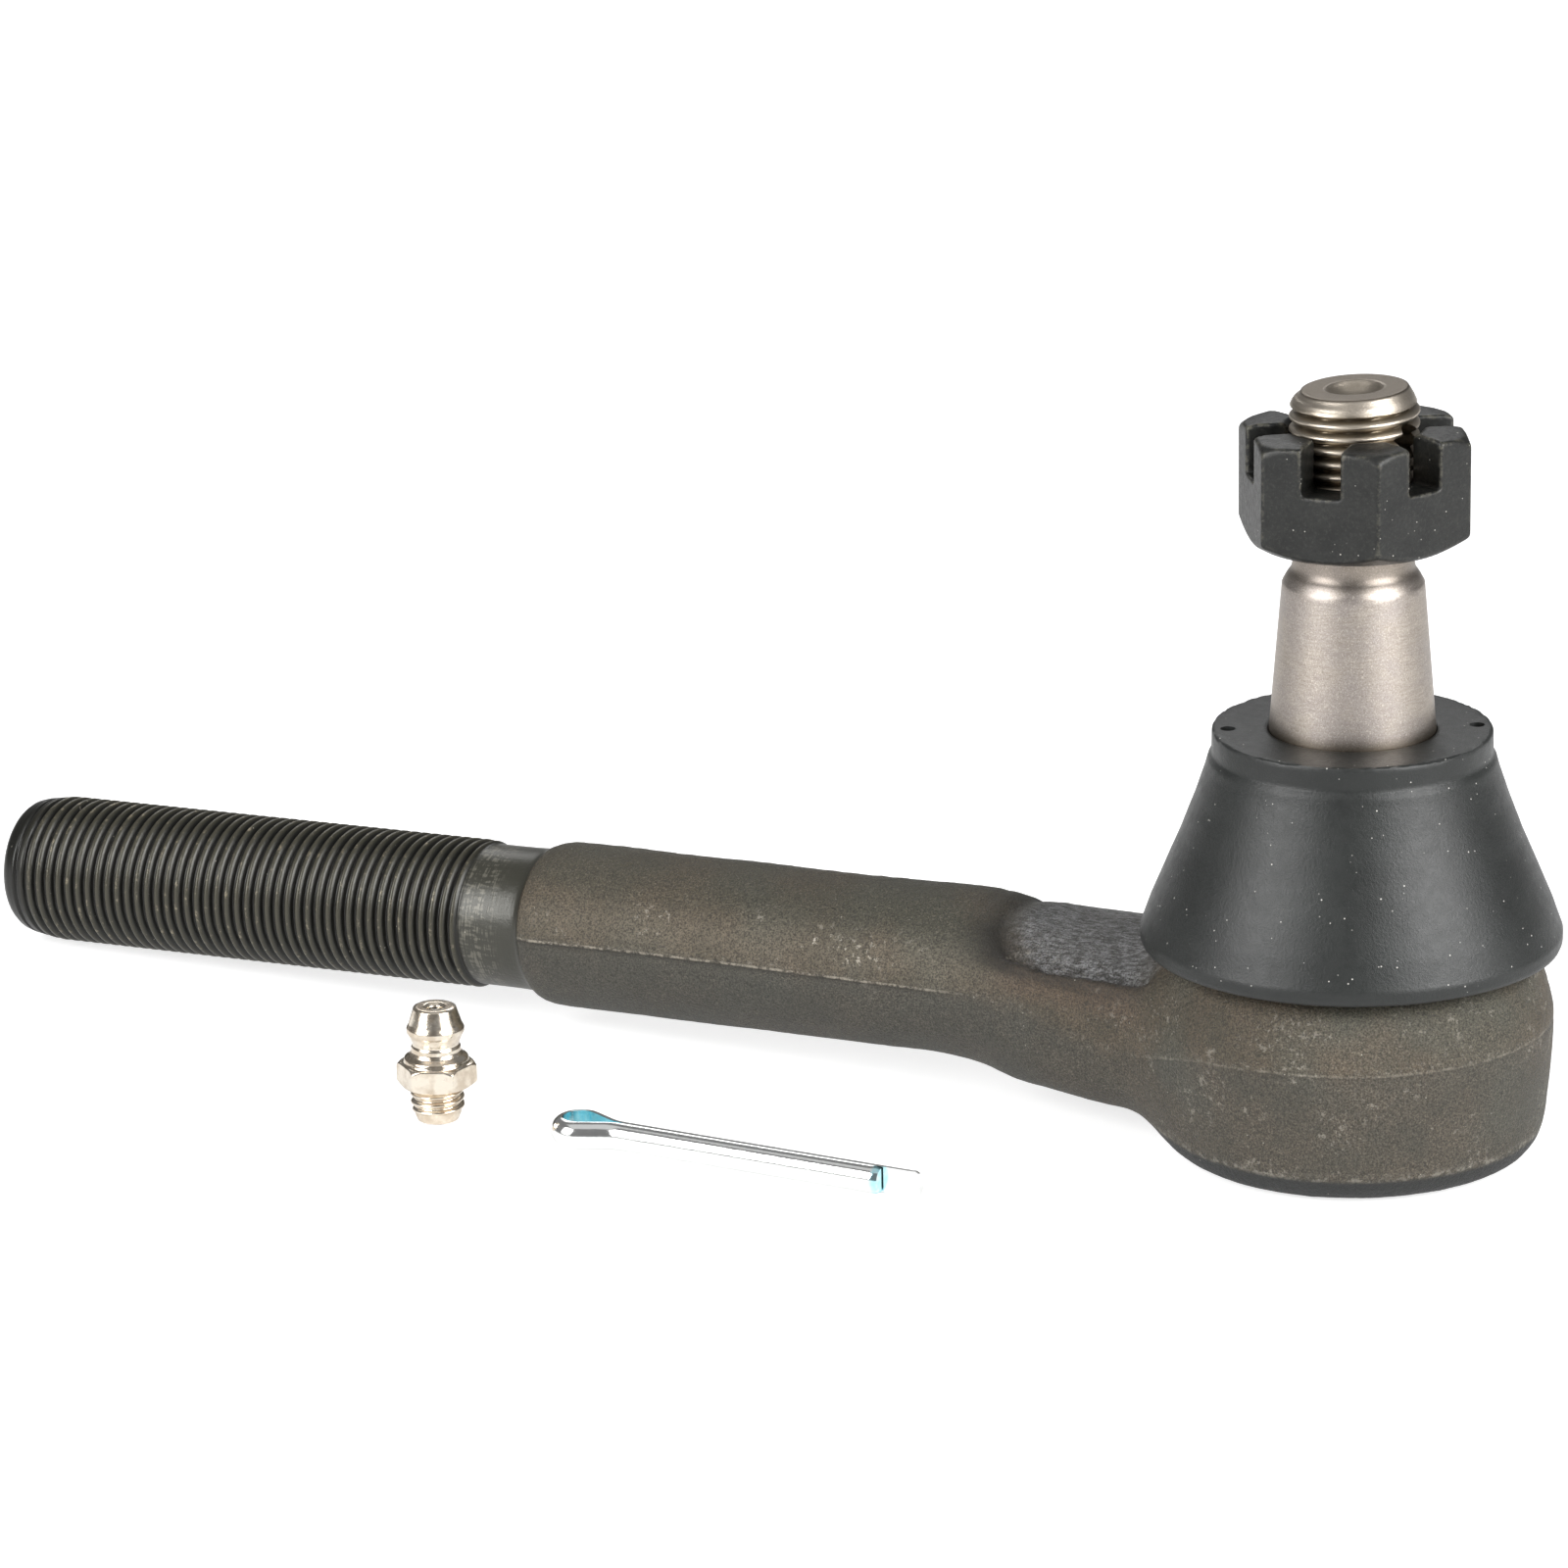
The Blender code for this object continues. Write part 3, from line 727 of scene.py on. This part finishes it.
def zip_loops(mesh_points, faces, loop, ring, centre):
    """Triangles that close the band between an uneven loop and an even ring, both round the shank."""
    def angle(i):
        away = mesh_points[i] - centre
        return math.atan2(away @ SHANK_UP, away[1]) % TURN

    def round_once(ids):
        ordered = sorted((angle(i), i) for i in ids)
        return ordered + [(ordered[0][0] + TURN, ordered[0][1])]

    first, second = round_once(loop), round_once(ring)
    i = j = 0
    while i < len(loop) or j < len(ring):
        a, b = first[i][1], second[j][1]
        if j == len(ring) or (i < len(loop) and first[i + 1][0] < second[j + 1][0]):
            faces.append((a, first[i + 1][1], b))
            i += 1
        else:
            faces.append((a, second[j + 1][1], b))
            j += 1


def open_loop(faces):
    """The vertices on open edges."""
    edges = Counter(frozenset(edge) for face in faces for edge in zip(face, face[1:] + face[:1]))
    return sorted({vert for edge, faces_there in edges.items() if faces_there == 1 for vert in edge})


def cut_at_join(points, quads):
    """The forging's mesh as far as the join, cut square to the shank."""
    bm = bmesh.new()
    made = [bm.verts.new(p) for p in points]
    for quad in quads:
        bm.faces.new([made[i] for i in quad])
    bmesh.ops.bisect_plane(bm, geom=[*bm.verts, *bm.edges, *bm.faces], dist=0.02, clear_outer=True,
                           plane_co=Vector(SHANK_AXIS * JOIN_AT), plane_no=Vector(SHANK_AXIS))
    bmesh.ops.remove_doubles(bm, verts=[v for v in bm.verts if v.is_boundary], dist=0.08)
    bm.verts.index_update()
    points = [tuple(v.co) for v in bm.verts]
    faces = [tuple(v.index for v in f.verts) for f in bm.faces]
    bm.free()
    return points, faces


def make_housing(finish):
    """The forging and its turned end in one mesh, with its waviness and die line."""
    reach = -JOIN_AT * math.cos(DROOP) - 2.5
    points, quads = surface_net(housing_field, (reach, -23.2, REST_Z - 0.8), (23.2, 23.2, up(24.2)), 0.47)
    points, faces = cut_at_join(points, quads)
    loop = open_loop(faces)
    rings, crest = turned_shank()
    tube_points, tube_quads = tube(rings)
    first = len(points)
    points = np.concatenate([np.array(points), tube_points])
    faces += [tuple(q[::-1] + first) for q in tube_quads]
    ring = list(range(first, first + SHANK_SIDES))
    faces.append(tuple(range(len(points) - SHANK_SIDES, len(points))))
    zip_loops(points, faces, loop, ring, points[ring].mean(0))
    distance = points @ SHANK_AXIS
    radius = np.hypot(points[:, 0], points[:, 1])
    outside = np.maximum(step_up(radius, 17.5, 19.5), step_up(distance, 16, 20))
    rough = (1 - step_up(distance, 101.1, 101.6)) * outside
    line = np.interp(-points[:, 0], *np.array(PARTING).T)
    above = points[:, 2] - up(line)
    swell = waves(points, 16, 5) * 0.1 + waves(points, 4.5, 6) * 0.06 + waves(points, 1.7, 7, 2) * 0.05
    swell *= rough * (0.45 + 0.55 * step_up(above, -1, 1))
    along = np.interp(distance, (0, 15, 22, 42, 50, 110), (0.3, 0.2, 0, 0.05, 0.8, 0.9))
    swell += 0.07 * rough * along * step_up(above, -0.3, 0.3)
    obj = link("forged_housing", points, faces, finish)
    bm = bmesh.new()
    bm.from_mesh(obj.data)
    bmesh.ops.recalc_face_normals(bm, faces=bm.faces)
    bm.normal_update()
    for vert, move in zip(bm.verts, swell):
        vert.co += vert.normal * (move * MM)
        vert.co.z = max(vert.co.z, REST_Z * MM)
    bm.to_mesh(obj.data)
    bm.free()
    paint(obj, "crest", np.concatenate([np.full(first, 0.4), crest.ravel()]))
    paint(obj, "scale", rough)
    paint(obj, "parting", np.where(rough > 0.5, above, 9))
    paint(obj, "line", along)
    paint_head(obj, points, distance, above, outside)
    paint_shank(obj, distance, above, rough)
    paint_neck(obj, points, distance)
    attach(obj, "housing")
    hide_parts("housing")


def paint_head(obj, points, distance, above, outside):
    """The rolled lip, its pale rim, the darker lower half and where scuffs may lie."""
    height = points[:, 2] - REST_Z
    spread = np.interp(distance, (15, 22, 38, 46), (1, 3, 3, 1))
    lower = 1 - step_up(above / spread, -0.5, 0.8)
    paint(obj, "lower", lower * (0.6 + 0.4 * step_up(distance, 12, 40)))
    head = 1 - step_up(distance, 16, 21)
    paint(obj, "rolled", (1 - step_up(height, 2.7, 3.1)) * head)
    paint(obj, "rim", bell(height, 3.3, 0.3) * head * outside)
    shank_scuffs = bell(distance, 70, 22) * bell(above, 2.8, 2.3)
    neck_scuffs = 0.4 * within(distance, 18, 24, 36, 42) * bell(above, 3, 3.5)
    paint(obj, "scuff", np.clip(shank_scuffs + 0.25 * head * outside + neck_scuffs, 0, 1))


def paint_shank(obj, distance, above, rough):
    """The shank's painted shade on its top and painted highlight along its side, and its relief with the
    tool marks in it.
    """
    shank = step_up(distance, 36, 46) * rough
    # a painted shade on the shank's top, and a painted highlight band along its side
    paint(obj, "crown_shade", shank * step_up(above, 4, 7.5))
    paint(obj, "flank_highlight", shank * bell(above, 2.8, 2.3))
    paint(obj, "relief", within(distance, 101.3, 101.7, 109.2, 109.9))
    paint(obj, "chatter", step_up(distance, 104, 106.5))


def paint_neck(obj, points, distance):
    """The coined flat, the painted shade in the crease round it and the rust outside that."""
    height = points[:, 2] - REST_Z
    high = step_up(height, 16.6, 17.8)
    inside = inside_coined(distance, np.abs(points[:, 1]))
    widening = step_up(distance, 33, 39)
    flat = step_up(inside / (1 + 3 * widening), -0.2, 0.8) * high
    paint(obj, "coined", flat * step_up(distance, 14, 24))
    # painted shade along the crease, set outwards onto the bulge where it shows
    crease = bell(inside, -0.7, 1 + widening) * high * step_up(distance, 15, 23)
    paint(obj, "crease", crease * (1 - 0.5 * step_up(height, 20.5, 22)))
    rust = bell(inside, -1.7, 1.3) * step_up(height, 14, 16.5)
    paint(obj, "rust", rust * within(distance, 17, 22, 36, 41))


# --- Stud ---

STUD_SIDES = 96
UNDERCUT_R, CREST_R, ROOT_DEPTH = 6.63, 7.07, 0.74
STUD_THREAD_FROM, LAST_CREST = 69.1, 84.9
LAST_CREST_TURN = math.radians(-66.8)


def taper_r(height):
    """The taper's radius, which narrows 1 in 6 on the diameter."""
    return 8.742 - (height - 52.73) / 12


def make_stud(finish):
    """The ball, the taper, the undercut and the thread in one turned piece."""
    foot = math.asin(-7.7 / BALL_R)
    neck = math.acos(7.6 / BALL_R)
    ball = [(BALL_R * math.cos(a), BALL_R * math.sin(a)) for a in np.linspace(foot, neck, 40)]
    lower = [(0.02, ball[0][1]), (ball[0][0] - 0.3, ball[0][1])] + ball
    lower += lifted([(7.55, 30), (7.6, 36), (8.3, 40.5)])
    lower += lifted([(taper_r(h), h) for h in (44, 50, 58, 64, 64.55)])
    lower += lifted([(taper_r(64.7) - 0.06, 64.72), (7.25, 65.5), (6.78, 66.15), (6.65, 66.7),
                     (UNDERCUT_R, 69)])
    lower = dense(lower, 0.6)
    z = np.arange(up(STUD_THREAD_FROM), up(84.85), PITCH / 14)
    ends = up(np.array((STUD_THREAD_FROM, 69.9, 84.2, LAST_CREST)))
    thread = np.stack([np.interp(z, ends, (UNDERCUT_R, CREST_R, CREST_R, 6.74)), z], -1)
    upper = dense(lifted([(6.7, LAST_CREST), (6.42, 85.5), (6.07, 86.1), (5.8, 86.5), (5.66, 86.55),
                          (3.2, 86.55), (3.05, 86.45), (2.1, 85.3), (1, 84.6), (0.02, 84.5)]), 0.3)
    limit, heights = np.concatenate([lower, thread, upper]).T[..., None]
    a = np.arange(STUD_SIDES) * TURN / STUD_SIDES
    turns = (heights - up(LAST_CREST)) / PITCH - (a - LAST_CREST_TURN) / TURN
    fade = step_up(heights, up(STUD_THREAD_FROM), up(70))
    cut = CREST_R - thread_depth(turns, ROOT_DEPTH) * fade
    row = np.arange(len(limit))[:, None]
    threaded = (row >= len(lower)) & (row < len(lower) + len(z))
    radius = np.where(threaded, np.minimum(cut, limit), limit)
    rings = np.stack([radius * np.cos(a), radius * np.sin(a), heights + 0 * a], -1)
    points, faces = capped_tube(rings)
    obj = link("ground_stud", points, faces, finish, sharp=50)
    drill_cotter_hole(obj)
    points = places(obj)
    h = points[:, 2] - REST_Z
    paint_stud(obj, h, np.hypot(points[:, 0], points[:, 1]))
    # the end was cut a little out of square
    lean = 0.055 * (points @ np.array((0.885, 0.465, 0)) - 5.5)
    points[:, 2] += lean * step_up(h, LAST_CREST, 86.3)
    move_to(obj, points)
    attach(obj, "stud")
    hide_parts("ball_stud")


def paint_stud(obj, h, r):
    """Where the steel is bright, and where it is darkened: by an oily film low down and in the thread
    roots, and on the end by that film and a painted shade that dims its highlight.
    """
    # the end and the chamfer under it are painted less bright, a painted shade that dims their highlights
    end_face = step_up(r, 3.1, 3.3) * step_up(h, 86.35, 86.5)
    bright = step_up(h, 69.3, 70.3) * (1 - 0.3 * step_up(h, 84.8, 85))
    paint(obj, "bright", bright * (1 - 0.8 * end_face))
    depth = np.clip((CREST_R - r) / ROOT_DEPTH, 0, 1)
    oil_and_shade = 0.9 * (1 - step_up(h, 47.6, 49.8))
    oil_and_shade += within(h, 69, 70, 84.75, 84.9) * (0.02 + 0.85 * depth)
    oil_and_shade += 0.35 * within(h, 64.8, 66.2, 69, 70)
    oil_and_shade += 0.22 * (1 - step_up(r, 2.8, 3.1)) * step_up(h, 83.6, 84.2)
    # a painted shade with the oily film on the end face
    oil_and_shade += 0.6 * end_face + 0.25 * step_up(h, 69, 70) - 0.1 * step_up(h, 80, 82)
    paint(obj, "oil_and_shade", np.clip(oil_and_shade, 0, 0.93))


def drill_cotter_hole(obj):
    """The hole across the thread."""
    a = np.arange(32) * TURN / 32
    turn = math.radians(-9)
    along = np.array((math.cos(turn), math.sin(turn), 0))
    across = np.array((-math.sin(turn), math.cos(turn), 0))
    ring = (np.cos(a)[:, None] * across + np.sin(a)[:, None] * np.array((0, 0, 1))) * 1.75
    rings = np.stack([ring + along * d + (0, 0, up(81.3)) for d in (-9, 9)])
    cut_away(obj, *capped_tube(rings))


# --- Castle nut ---

def nut_field(x, y, z):
    """A hexagon inside a turned outline, with slots through its flats and a bore."""
    r = np.hypot(x, y)
    turn = np.arctan2(y, x) - NUT_TURN
    middles = np.radians((30, 90, 150))
    field = np.full(np.shape(x), -99, np.float32)
    for a in middles:
        flat = np.abs(r * np.cos(turn - a)) - NUT_FLATS / 2
        field = -join_soft(-field, -flat, 0.22)
    turned = [(0, NUT_BOTTOM), (10.6, NUT_BOTTOM), (16, NUT_BOTTOM + 5.4 * 0.577), (16, NUT_TOP - 3),
              (13.3, NUT_TOP - 1.1), (12.2, NUT_TOP - 0.35), (10.4, NUT_TOP - 0.02), (8.6, NUT_TOP),
              (0, NUT_TOP)]
    field = -join_soft(-field, -outline_distance(turned, r, z), 0.45)
    for a in middles:
        side = np.abs(r * np.sin(turn - a)) - SLOT_HALF_WIDTH
        slot = -join_soft(-side, -(NUT_TOP - SLOT_DEPTH - z), 0.55)
        field = cut_soft(field, slot, 0.3)
    bore = NUT_BORE_R + np.clip(NUT_BOTTOM + 0.8 - z, 0, 1) + np.clip(z - NUT_TOP + 0.5, 0, 1)
    return cut_soft(field, r - bore, 0.25)


def make_nut(finish):
    low, high = (-13.8, -13.8, NUT_BOTTOM - 0.6), (13.8, 13.8, NUT_TOP + 0.6)
    points, quads = surface_net(nut_field, low, high, 0.26)
    obj = link("slotted_nut", points, quads, finish, "nut", ("castle_nut",))
    paint(obj, "edge", bulge(obj))


# --- Boot ---

BOOT_SIDES = 160
HOLE_TURN, HOLE_OUT, HOLE_R = math.radians(27.4), 13.6, 0.85


def make_boot(finish):
    """The boot's wall and flange, its two moulding holes and the unevenness of its rim."""
    outside = [(19.6, 23.55), (22.6, 23.55), (23, 23.75), (23.19, 24.2), (23.2, 25.2), (23, 25.75),
               (22.15, 28.2), (20.35, 32.5), (18.8, 36.1), (17.2, 40.3), (16.1, 43.6), (15.75, 44.85),
               (15.5, 45.2), (15.38, 45.45), (15.36, 46.6), (15.34, 47.8), (15.22, 48.03), (14.9, 48.07)]
    inside = [(9.4, 48.07), (9.22, 47.95), (9.22, 47.6), (9.53, 44.2), (9.75, 44), (12.8, 44),
              (13.3, 43.6), (16.7, 36), (20.2, 27.4), (20.3, 25), (19.45, 24.2), (19.45, 23.7)]
    r, z = np.array(dense(lifted(outside + inside), 0.45)).T[..., None]
    index = np.arange(BOOT_SIDES)
    a = index * TURN / BOOT_SIDES
    points, quads = tube(np.stack([r * np.cos(a), r * np.sin(a), z + 0 * a], -1))
    ahead, last = (index + 1) % BOOT_SIDES, len(points) - BOOT_SIDES
    quads = np.concatenate([quads, np.stack([index + last, ahead + last, ahead, index], -1)])
    obj = link("dust_boot", points, quads, finish)
    a = np.arange(24) * TURN / 24
    for turn in (HOLE_TURN, HOLE_TURN + math.pi):
        x, y = HOLE_OUT * math.cos(turn), HOLE_OUT * math.sin(turn)
        ring = np.stack([x + HOLE_R * np.cos(a), y + HOLE_R * np.sin(a), 0 * a], -1)
        cut_away(obj, *capped_tube(np.stack([ring + (0, 0, up(46.2)), ring + (0, 0, up(48.8))])))
    face_out(obj.data)
    co = places(obj)
    wobble = 1 + (waves(co, 24, 11, 2) * 0.0035 + waves(co, 7, 12, 2) * 0.001)
    wobble = np.where(np.hypot(co[:, 0], co[:, 1]) > 14.9, np.minimum(wobble, 1.004), 1)
    co[:, :2] *= wobble[:, None]
    rim = step_up(np.hypot(co[:, 0], co[:, 1]), 14.6, 15.1) * step_up(co[:, 2], up(47.3), up(47.9))
    co[:, 2] += rim * np.minimum(0, waves(co, 2.4, 13, 2) * 0.24 - 0.02)
    move_to(obj, co)
    obj.data.shade_smooth()
    obj.data.set_sharp_from_angle(angle=math.radians(55))
    paint(obj, "edge", bulge(obj))
    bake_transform(obj)
    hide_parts("boot")


# --- Grease fitting ---

FITTING_PITCH, FITTING_CORNERS, FITTING_TURN = 0.95, 9.17, -66.8
SPRING_FOOT, SPRING_TOP, COIL_R, WIRE_R = 8.35, 10.75, 0.95, 0.15
SPRING_TURNS, STEPS_A_TURN = 4.5, 32


def fitting_field(x, y, z):
    """The fitting's body, with heights from its threaded end."""
    r = np.hypot(x, y)
    turn = np.arctan2(y, x)
    stem = [(0, 0), (1.5, 0), (2.35, 0.35), (2.6, 1), (2.6, 4.6), (3.4, 6.6), (3.75, 7.1),
            (3.6, 7.7), (3.05, 8.1), (2.82, 8.5), (2.8, 9), (2.62, 9.3), (3.05, 10.35), (3.27, 10.75),
            (3.27, 11.2), (3, 11.75), (2.42, 13.55), (2.1, 13.7), (0, 13.7)]
    body = outline_distance(stem, r, z)
    crest = np.minimum(3.05, 2.5 + np.clip(z - 0.9, 0, 4) * 0.6)
    groove = thread_depth(z / FITTING_PITCH - turn / TURN, 0.5)
    body = join_soft(body, np.maximum(r - crest + groove, np.abs(z - 2.75) - 1.8), 0.15)
    hexagon = np.full(np.shape(x), -99, np.float32)
    for a in np.radians((FITTING_TURN, FITTING_TURN + 60, FITTING_TURN + 120)):
        flat = np.abs(r * np.cos(turn - a)) - FITTING_CORNERS * math.cos(math.radians(30)) / 2
        hexagon = np.maximum(hexagon, flat)
    collar = [(0, 4.3), (3.7, 4.35), (5, 4.95), (5, 6.35), (4.15, 7.1), (0, 7.3)]
    wrench = -join_soft(-hexagon, -outline_distance(collar, r, z), 0.12)
    body = join_soft(body, wrench, 0.2)
    passage = np.where(z < 8, 0.7, np.where(z < 13.1, 1.35, 0.85 + np.clip(z - 13.35, 0, 0.4)))
    return cut_soft(body, r - passage, 0.1)


def make_fitting(finish, wire_finish):
    """The grease fitting's body, and the spring in it that its ball squashes."""
    points, quads = surface_net(fitting_field, (-5.1, -5.1, -0.4), (5.1, 5.1, 14.1), 0.13)
    points = points + FITTING_FOOT
    link("grease_fitting", points, quads, finish, "fitting", ("fitting_body",))
    last = int(SPRING_TURNS * STEPS_A_TURN)
    a = (np.arange(12) * TURN / 12)[:, None]
    upwards = np.array((0, 0, 1))
    rings = []
    for i in range(last + 1):
        t = i * TURN / STEPS_A_TURN
        out = np.array((math.cos(t), math.sin(t), 0))
        centre = out * COIL_R + upwards * (SPRING_FOOT + (SPRING_TOP - SPRING_FOOT) * i / last)
        rings.append(centre + WIRE_R * (np.cos(a) * out + np.sin(a) * upwards))
    points, faces = capped_tube(np.array(rings))
    points = points + FITTING_FOOT
    nodes = ("fitting_spring",)
    spring = link("check_spring", points, faces, wire_finish, "fitting", nodes)
    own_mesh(spring)


# --- Cotter pin ---

WIRE_HALF_WIDTH, WIRE_DEPTH = 1.6, 1.45
EYE_R = 1.9


def pin_centreline():
    """Inner line of the half-round wire seen from above, with the eye's centre at the origin."""
    low, high = cad("cotter_pin")
    eye_x, root, split = low[0] + EYE_R + WIRE_DEPTH, 4.3, 0.12
    long_end, short_end = high[0] - eye_x, high[0] - 4.5 - eye_x
    start = math.acos(EYE_R / math.hypot(root, split))
    arc = [(EYE_R * math.cos(t), EYE_R * math.sin(t)) for t in np.linspace(start, TURN - start, 64)]
    path = [(long_end, split), (root + 1.5, split), (root, split + 0.02)] + arc
    path += [(root, -split - 0.02), (root + 1.5, -split), (short_end, -split)]
    return np.array(dense(path, 0.5)), np.array((eye_x, (low[1] + high[1]) / 2, 0))


def make_pin(finish):
    """The half-round wire swept along that line. Its inside at the eye and the short leg's end are
    painted blue.
    """
    path, centre = pin_centreline()
    for _ in range(6):
        path[1:-1] = 0.5 * path[1:-1] + 0.25 * (path[:-2] + path[2:])
    along = np.gradient(path, axis=0)
    along /= np.linalg.norm(along, axis=1, keepdims=True)
    outward = np.stack([along[:, 1], -along[:, 0]], -1)
    arc = np.radians(np.linspace(-86, 86, 17))
    section = [(WIRE_DEPTH * math.cos(t), WIRE_HALF_WIDTH * math.sin(t)) for t in arc]
    section = np.array(section + [(0, h) for h in (1.5, 0.8, 0, -0.8, -1.5)])
    small = np.ones((len(path), 1))
    small[[0, -1]] = 0.86
    along_out, upwards = section[:, 0] * small, section[:, 1] * small
    flat = path[:, None] + outward[:, None] * along_out[..., None]
    rings = np.concatenate([flat, (REST_Z + WIRE_HALF_WIDTH + upwards)[..., None]], -1)
    points, faces = capped_tube(rings)
    points = points + centre
    nodes = ("cotter_pin",)
    obj = link("split_pin", points, faces, finish, "cotter_pin", nodes, sharp=45)
    tint = np.zeros((len(path), len(section)))
    tint[:, len(arc):] = (path[:, :1] < 5.2)
    tint[-2:] = 1
    paint(obj, "blue", tint.ravel())


# --- Pieces as the CAD drew them ---

def dress_cad_nodes(finishes):
    """Gives CAD nodes that stay in view their finishes."""
    for node, finish in finishes.items():
        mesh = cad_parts[node].data
        mesh.materials.clear()
        mesh.materials.append(finish)


# --- Room ---

def make_floor():
    """A wide pale floor just under the part, white where the camera sees it itself."""
    corners = [(-3, -3), (3, -3), (3, 3), (-3, 3)]
    mesh = bpy.data.meshes.new("floor")
    mesh.from_pydata([(x, y, REST_Z * MM - 0.00002) for x, y in corners], [], [(0, 1, 2, 3)])
    floor = new_object("floor", mesh)
    f = Finish("pale_floor", roughness=0.9, specular=0.1)
    f.set("Base Color", (0.6, 0.6, 0.6))
    f.set("Emission Color", (1, 1, 1))
    f.set("Emission Strength", f.span(f.node("LightPath", "Is Camera Ray"), 0, 1, 0.36, 0.72))
    mesh.materials.append(f.material)


PART_MIDDLE = Vector((-0.05, 0, 0.02))
# Name, azimuth and elevation in degrees from there, size in metres and power. Each is 1 m away.
SOFTBOXES = (("right", -12, 27, (0.65, 0.7), 13), ("left", -120, 27, (0.6, 0.7), 9.5),
             ("back", 118, 35, (0.6, 0.3), 1.5), ("top", -60, 84, (1.2, 0.9), 1.4))


def make_room():
    """White behind for the camera, but dim all round, so that the softboxes shape the part."""
    world = bpy.data.worlds.new("studio")
    scene.world = world
    world.use_nodes = True
    nodes, links = world.node_tree.nodes, world.node_tree.links
    ray = nodes.new("ShaderNodeLightPath")
    level = nodes.new("ShaderNodeMapRange")
    links.new(ray.outputs["Is Camera Ray"], level.inputs["Value"])
    level.inputs["To Min"].default_value = 0.18
    nodes["Background"].inputs["Color"].default_value = (1, 1, 1, 1)
    links.new(level.outputs["Result"], nodes["Background"].inputs["Strength"])
    for name, azimuth, elevation, size, power in SOFTBOXES:
        a, e = math.radians(azimuth), math.radians(elevation)
        away = Vector((math.cos(a) * math.cos(e), math.sin(a) * math.cos(e), math.sin(e)))
        lamp = bpy.data.lights.new(name, "AREA")
        lamp.shape = "RECTANGLE"
        lamp.size, lamp.size_y = size
        lamp.energy = power
        obj = new_object(name, lamp)
        obj.location = PART_MIDDLE + away
        obj.rotation_euler = (-away).to_track_quat("-Z", "Y").to_euler()
    scene.view_settings.view_transform = "Standard"
    scene.view_settings.look = "None"


def make_camera():
    """The photograph's view: a long lens in front, a little above and to the right."""
    lens = bpy.data.cameras.new("camera")
    lens.lens = 160.83
    lens.clip_start = 0.01
    camera = new_object("camera", lens)
    right = Vector((0.885004, 0.465222, -0.018336))
    above = Vector((-0.124633, 0.274672, 0.953426))
    back = Vector((0.448591, -0.841501, 0.301068))
    turn = Matrix((right, above, back)).transposed().to_4x4()
    camera.matrix_world = Matrix.Translation((0.28886, -0.67400, 0.25783)) @ turn
    scene.camera = camera


make_camera()
make_room()
make_floor()
steel_wire = inner_finish("spring_steel", (0.5, 0.5, 0.51), (0.3, 0.3, 0.31), 0.3, 1, 0.2)
sintered = inner_finish("sintered_bearing", (0.3, 0.26, 0.2), (0.16, 0.13, 0.1), 0.5, 0.8, 0.3)
plate = inner_finish("plate_steel", (0.3, 0.3, 0.29), (0.18, 0.17, 0.16), 0.42, 1, 0.4)
make_housing(forged_finish())
make_stud(ground_finish())
make_nut(nut_finish())
make_boot(rubber_finish())
make_fitting(plated_finish("nickel_plate", (0.9, 0.82, 0.7), (0.68, 0.58, 0.46), 0.2, 0.3), steel_wire)
make_pin(plated_finish("zinc_plate", (0.96, 0.97, 0.96), (0.5, 0.88, 0.96), 0.14, 0.4, tinted="blue"))
dress_cad_nodes({"upper_bearing": sintered, "lower_bearing": sintered, "preload_spring": steel_wire,
                 "cover_plate": plate, "boot_insert": plate, "fitting_ball": steel_wire})
